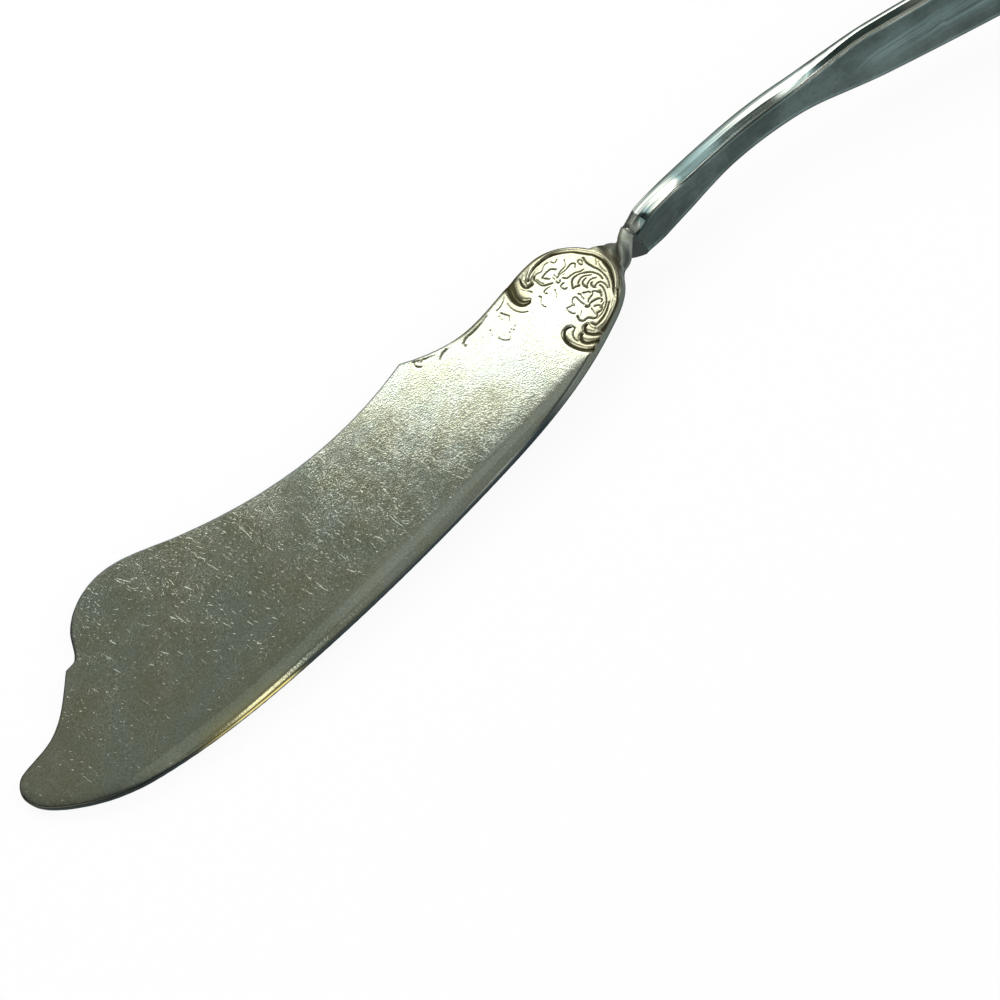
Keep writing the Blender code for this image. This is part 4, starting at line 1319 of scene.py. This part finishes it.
class BladeLook(bpy.types.PropertyGroup):
    """What a user would change on the blade."""

    rim_height: length_property("Rim height", "How far the rim of the shoulder stands up", 0.13 * MM)
    relief: relief_property()
    scratch_depth: scratch_property(0.005)
    silver: colour_property("Silver", "Plate where it is clean", (0.615, 0.645, 0.55))
    bright: colour_property("Bright", "Plate that a scratch has laid bare", (0.91, 0.95, 0.88))
    dull: colour_property("Dull", "Plate in the dimples between scratches", (0.34, 0.375, 0.295))
    # Partly tarnish, partly painted dark reflection on the sides
    patina_and_painted_dark: colour_property("Patina", "Dark tarnish on the sides", (0.037, 0.048, 0.052))
    edge_tint: colour_property("Edge tint", "Share of the gloss left at a grazing angle", (0.45, 0.47, 0.47))
    # Painted shade round the struck lines
    cream: colour_property("Cream", "Plate under the yellow tarnish of the struck ground", (0.6, 0.56, 0.36))
    olive: colour_property("Olive", "Plate under a thin olive tarnish", (0.51, 0.53, 0.385))
    teal: colour_property("Teal", "Plate under a thin blue-green tarnish", (0.475, 0.56, 0.5))
    # Also the colour of the painted shade at the blade's end, belly, back band and round the lines
    tarnish: colour_property("Tarnish", "Dark tarnish in the recesses", (0.042, 0.038, 0.018))
    brass: colour_property("Brass", "Metal where the plate is rubbed through", (0.9, 0.76, 0.27))


class HandleLook(bpy.types.PropertyGroup):
    """What a user would change on the handle."""

    crown: length_property("Crown", "How far the back of the handle bulges", 0.25 * MM)
    relief: relief_property()
    scratch_depth: scratch_property(0.004)
    silver: colour_property("Silver", "Plate where it is rubbed bright", (0.66, 0.69, 0.62))
    # Painted sheen: blue-green colour of the glints along the upper edge
    sheen: colour_property("Sheen", "Plate under a film of blue-green tarnish", (0.42, 0.64, 0.64))
    # Partly tarnish, partly painted dark reflection
    patina_and_painted_dark: colour_property("Patina", "Dark tarnish on the flats", (0.036, 0.053, 0.049))
    patina_light: colour_property("Thin patina", "Tarnish where it is thinner", (0.1, 0.14, 0.135))
    held: colour_property("Held", "Tarnish that is rubbed thin where the knife is held", (0.34, 0.4, 0.37))
    # Also the colour of the painted shade lines along the edges
    tarnish: colour_property("Tarnish", "Tarnish in the recesses", (0.05, 0.055, 0.045))


class SolderLook(bpy.types.PropertyGroup):
    """What a user would change on the solder."""

    grey: colour_property("Grey", "Solder where it is clean", (0.055, 0.07, 0.066))
    dark: colour_property("Dark", "Solder where it is dull", (0.035, 0.046, 0.043))
    # Painted highlight of the bead
    bright: colour_property("Bright", "Bead of solder that stands out of the joint", (0.85, 0.84, 0.76))


class StageLook(bpy.types.PropertyGroup):
    """What a user would change on the stage."""

    floor_size: FloatProperty(
        name="Floor size", description="Length of the floor's sides", default=8.0, unit="LENGTH",
    )
    floor_colour: colour_property("Floor", "Colour of the board under the knife", (0.93, 0.93, 0.925))
    sky: colour_property("Room", "Light of the room", (0.205, 0.21, 0.19))


class KNIFE_OT_blade(bpy.types.Operator):
    """Make the blade with its struck shoulder, twisted neck and tang"""

    bl_idname = "butter_knife.blade"
    bl_label = "Blade"

    def execute(self, context):
        look = context.scene.knife_blade
        struck = struck_shoulder(look.rim_height / MM, look.relief)
        rings, marks = blade_rings(struck)
        neck, neck_marks = neck_rings()
        blade = skin("blade_with_neck", rings + neck)
        mark(blade, ("recess", "side", "rubbed", "field", "matt"), marks + neck_marks)
        dress(blade, "blade", blade_finish(look))
        return {"FINISHED"}


class KNIFE_OT_handle(bpy.types.Operator):
    """Make the handle with its struck front, plain back and socket"""

    bl_idname = "butter_knife.handle"
    bl_label = "Handle"

    def execute(self, context):
        look = context.scene.knife_handle
        rings, marks = handle_rings(struck_handle(look.relief), look.crown / MM)
        face, grown = SOLDER_COLLAR / 2 + JOINT_GAP, 2 * JOINT_GAP + SOLDER_WALL
        socket = handle_section(TANG_WIDTH + 2 * grown, TANG_THICKNESS + 2 * grown, TANG_CORNER)
        root = handle_section(HANDLE_WIDTHS[0], HANDLE_THICKNESSES[0], HANDLE_CORNER)
        first = [
            joint_ring(socket, TANG_LENGTH + SOCKET_SPARE), joint_ring(socket, face), joint_ring(root, face),
        ]
        handle = skin("handle_with_socket", first + rings)
        mark(handle, ("recess", "patina_and_painted_dark", "along", "round"), [marks[0]] * len(first) + marks)
        dress(handle, "handle", handle_finish(look))
        return {"FINISHED"}


class KNIFE_OT_solder(bpy.types.Operator):
    """Make the solder between the tang and the socket"""

    bl_idname = "butter_knife.solder"
    bl_label = "Solder"

    def execute(self, context):
        look = context.scene.knife_solder
        rear = SOLDER_COLLAR / 2 + COLLAR_REACH * JOINT_GAP
        front = -rear
        width, thick = HANDLE_WIDTHS[0], HANDLE_THICKNESSES[0]
        inner, outer = 2 * JOINT_GAP, 2 * (JOINT_GAP + SOLDER_WALL)
        rings, beads = [], []
        for share, sunk, stands in COLLAR_LIP:
            section = handle_section(width - sunk, thick - sunk, HANDLE_CORNER)
            # Shape of the bead, which also carries its painted highlight
            bead = bell(section[:, 1], BEAD_WIDTH) * (section[:, 0] < -width / 3)
            section[:, 0] -= stands * bead
            rings.append(joint_ring(section, share * rear))
            beads.append(bead[:, None])
        for ahead, grown in ((rear, outer), (TANG_LENGTH, outer), (TANG_LENGTH, inner), (front, inner)):
            section = handle_section(TANG_WIDTH + grown, TANG_THICKNESS + grown, TANG_CORNER)
            rings.append(joint_ring(section, ahead))
            beads.append(np.zeros((len(section), 1)))
        solder = skin("solder_collar", rings, closed=True)
        mark(solder, ("bead",), beads)
        dress(solder, "solder", solder_finish(look))
        return {"FINISHED"}


# Places on the knife that lamps aim at, and the tint of the faint one overhead
SHOULDER_AIM = (66.0, 0.5, 1.0)
EDGE_AIM = (26.3, -9.8, 0.0)
WHITE = (1.0, 1.0, 1.0)
COOL = (0.88, 1.0, 1.0)

# Lamps: name, aim, direction, distance and sides in metres, brightness, direction of one side and colour
LAMPS = (
    ("key_softbox", SHOULDER_AIM, (0.1195, 0.713, 0.691), 0.6, (0.45, 0.396), 3.3, (0.7, -0.714, 0.0), WHITE),
    ("left_softbox", SHOULDER_AIM, (-0.8, -0.1, 0.6), 1.1, (0.9, 0.9), 2.6, (0.0, 1.0, 0.0), WHITE),
    ("right_softbox", SHOULDER_AIM, (0.78, -0.35, 0.52), 1.1, (0.9, 0.9), 2.6, (0.0, 1.0, 0.0), WHITE),
    ("edge_softbox", EDGE_AIM, (-0.156, -0.764, 0.62), 0.7, (0.06, 0.2), 1.5, (1.0, 0.0, 0.0), WHITE),
    ("overhead_softbox", SHOULDER_AIM, (0.0, -0.12, 0.99), 1.2, (1.0, 1.0), 0.07, (1.0, 0.0, 0.0), COOL),
)


def softbox(name, aim, towards, distance, size, level, along, colour):
    """A lamp that shows at a level of brightness, with one side along a direction."""
    out = Vector(towards).normalized()
    across = (Vector(along) - Vector(along).dot(out) * out).normalized()
    lamp = bpy.data.lights.new(name, "AREA")
    lamp.shape, lamp.size, lamp.size_y = "RECTANGLE", size[0], size[1]
    lamp.energy = level * math.pi * size[0] * size[1]
    lamp.color = colour
    made = bpy.data.objects.new(name, lamp)
    turn = Matrix((across, out.cross(across), out)).transposed().to_4x4()
    made.matrix_world = Matrix.Translation(REST @ Vector(aim) + out * distance) @ turn
    bpy.context.scene.collection.objects.link(made)


class KNIFE_OT_stage(bpy.types.Operator):
    """Make the floor, the lamps, the room's light and the camera"""

    bl_idname = "butter_knife.stage"
    bl_label = "Stage"

    def execute(self, context):
        scene, look = context.scene, context.scene.knife_stage
        half = look.floor_size / 2
        mesh = bpy.data.meshes.new("floor")
        corners = [(-half, -half, 0.0), (half, -half, 0.0), (half, half, 0.0), (-half, half, 0.0)]
        mesh.from_pydata(corners, [], [(0, 1, 2, 3)])
        mesh.materials.append(floor_finish(look.floor_colour))
        floor = bpy.data.objects.new("floor", mesh)
        scene.collection.objects.link(floor)
        for lamp in LAMPS:
            softbox(*lamp)
        world = bpy.data.worlds.new("room")
        world.use_nodes = True
        world.node_tree.nodes["Background"].inputs["Color"].default_value = (*look.sky, 1.0)
        scene.world = world
        scene.view_settings.view_transform = "Standard"
        scene.camera = make_camera()
        return {"FINISHED"}


def make_camera():
    """Camera tilted off the face of the blade, towards its cutting edge."""
    tilt, roll = math.radians(CAMERA_TILT), math.radians(CAMERA_ROLL)
    out = Vector((0.0, -math.sin(tilt), math.cos(tilt)))
    level, steep = Vector((1.0, 0.0, 0.0)), Vector((0.0, math.cos(tilt), math.sin(tilt)))
    right = math.cos(roll) * level - math.sin(roll) * steep
    up = math.sin(roll) * level + math.cos(roll) * steep
    turn = REST.to_3x3() * (1.0 / MM) @ Matrix((right, up, out)).transposed()
    lens = bpy.data.cameras.new("camera")
    lens.sensor_width = SENSOR_WIDTH
    lens.lens = SENSOR_WIDTH * CAMERA_DISTANCE / CAMERA_WIDTH
    lens.clip_start, lens.clip_end = CAMERA_CLIP
    camera = bpy.data.objects.new("camera", lens)
    place = REST @ (Vector(CAMERA_AIM) + out * CAMERA_DISTANCE)
    camera.matrix_world = Matrix.Translation(place) @ turn.to_4x4()
    bpy.context.scene.collection.objects.link(camera)
    return camera


class KNIFE_PT_panel(bpy.types.Panel):
    """The knife's pieces and stage"""

    bl_idname = "KNIFE_PT_panel"
    bl_label = "Butter knife"
    bl_space_type = "VIEW_3D"
    bl_region_type = "UI"
    bl_category = "Butter knife"

    def draw(self, context):
        for operator, look in PANEL_ROWS:
            box = self.layout.box()
            box.operator(operator.bl_idname)
            settings = getattr(context.scene, look)
            for key in settings.__annotations__:
                box.prop(settings, key)


PANEL_ROWS = (
    (KNIFE_OT_blade, "knife_blade"),
    (KNIFE_OT_handle, "knife_handle"),
    (KNIFE_OT_solder, "knife_solder"),
    (KNIFE_OT_stage, "knife_stage"),
)
LOOKS = {
    "knife_blade": BladeLook,
    "knife_handle": HandleLook,
    "knife_solder": SolderLook,
    "knife_stage": StageLook,
}
CLASSES = (
    *LOOKS.values(), KNIFE_OT_blade, KNIFE_OT_handle, KNIFE_OT_solder, KNIFE_OT_stage, KNIFE_PT_panel,
)


def register():
    """Add the classes and their settings."""
    for made in CLASSES:
        bpy.utils.register_class(made)
    for name, group in LOOKS.items():
        setattr(bpy.types.Scene, name, PointerProperty(type=group))


def unregister():
    """Take the settings and the classes away again."""
    for name in LOOKS:
        delattr(bpy.types.Scene, name)
    for made in reversed(CLASSES):
        bpy.utils.unregister_class(made)


def main():
    """Make the whole scene."""
    register()
    bpy.ops.butter_knife.blade()
    bpy.ops.butter_knife.handle()
    bpy.ops.butter_knife.solder()
    bpy.ops.butter_knife.stage()


if __name__ == "__main__":
    main()
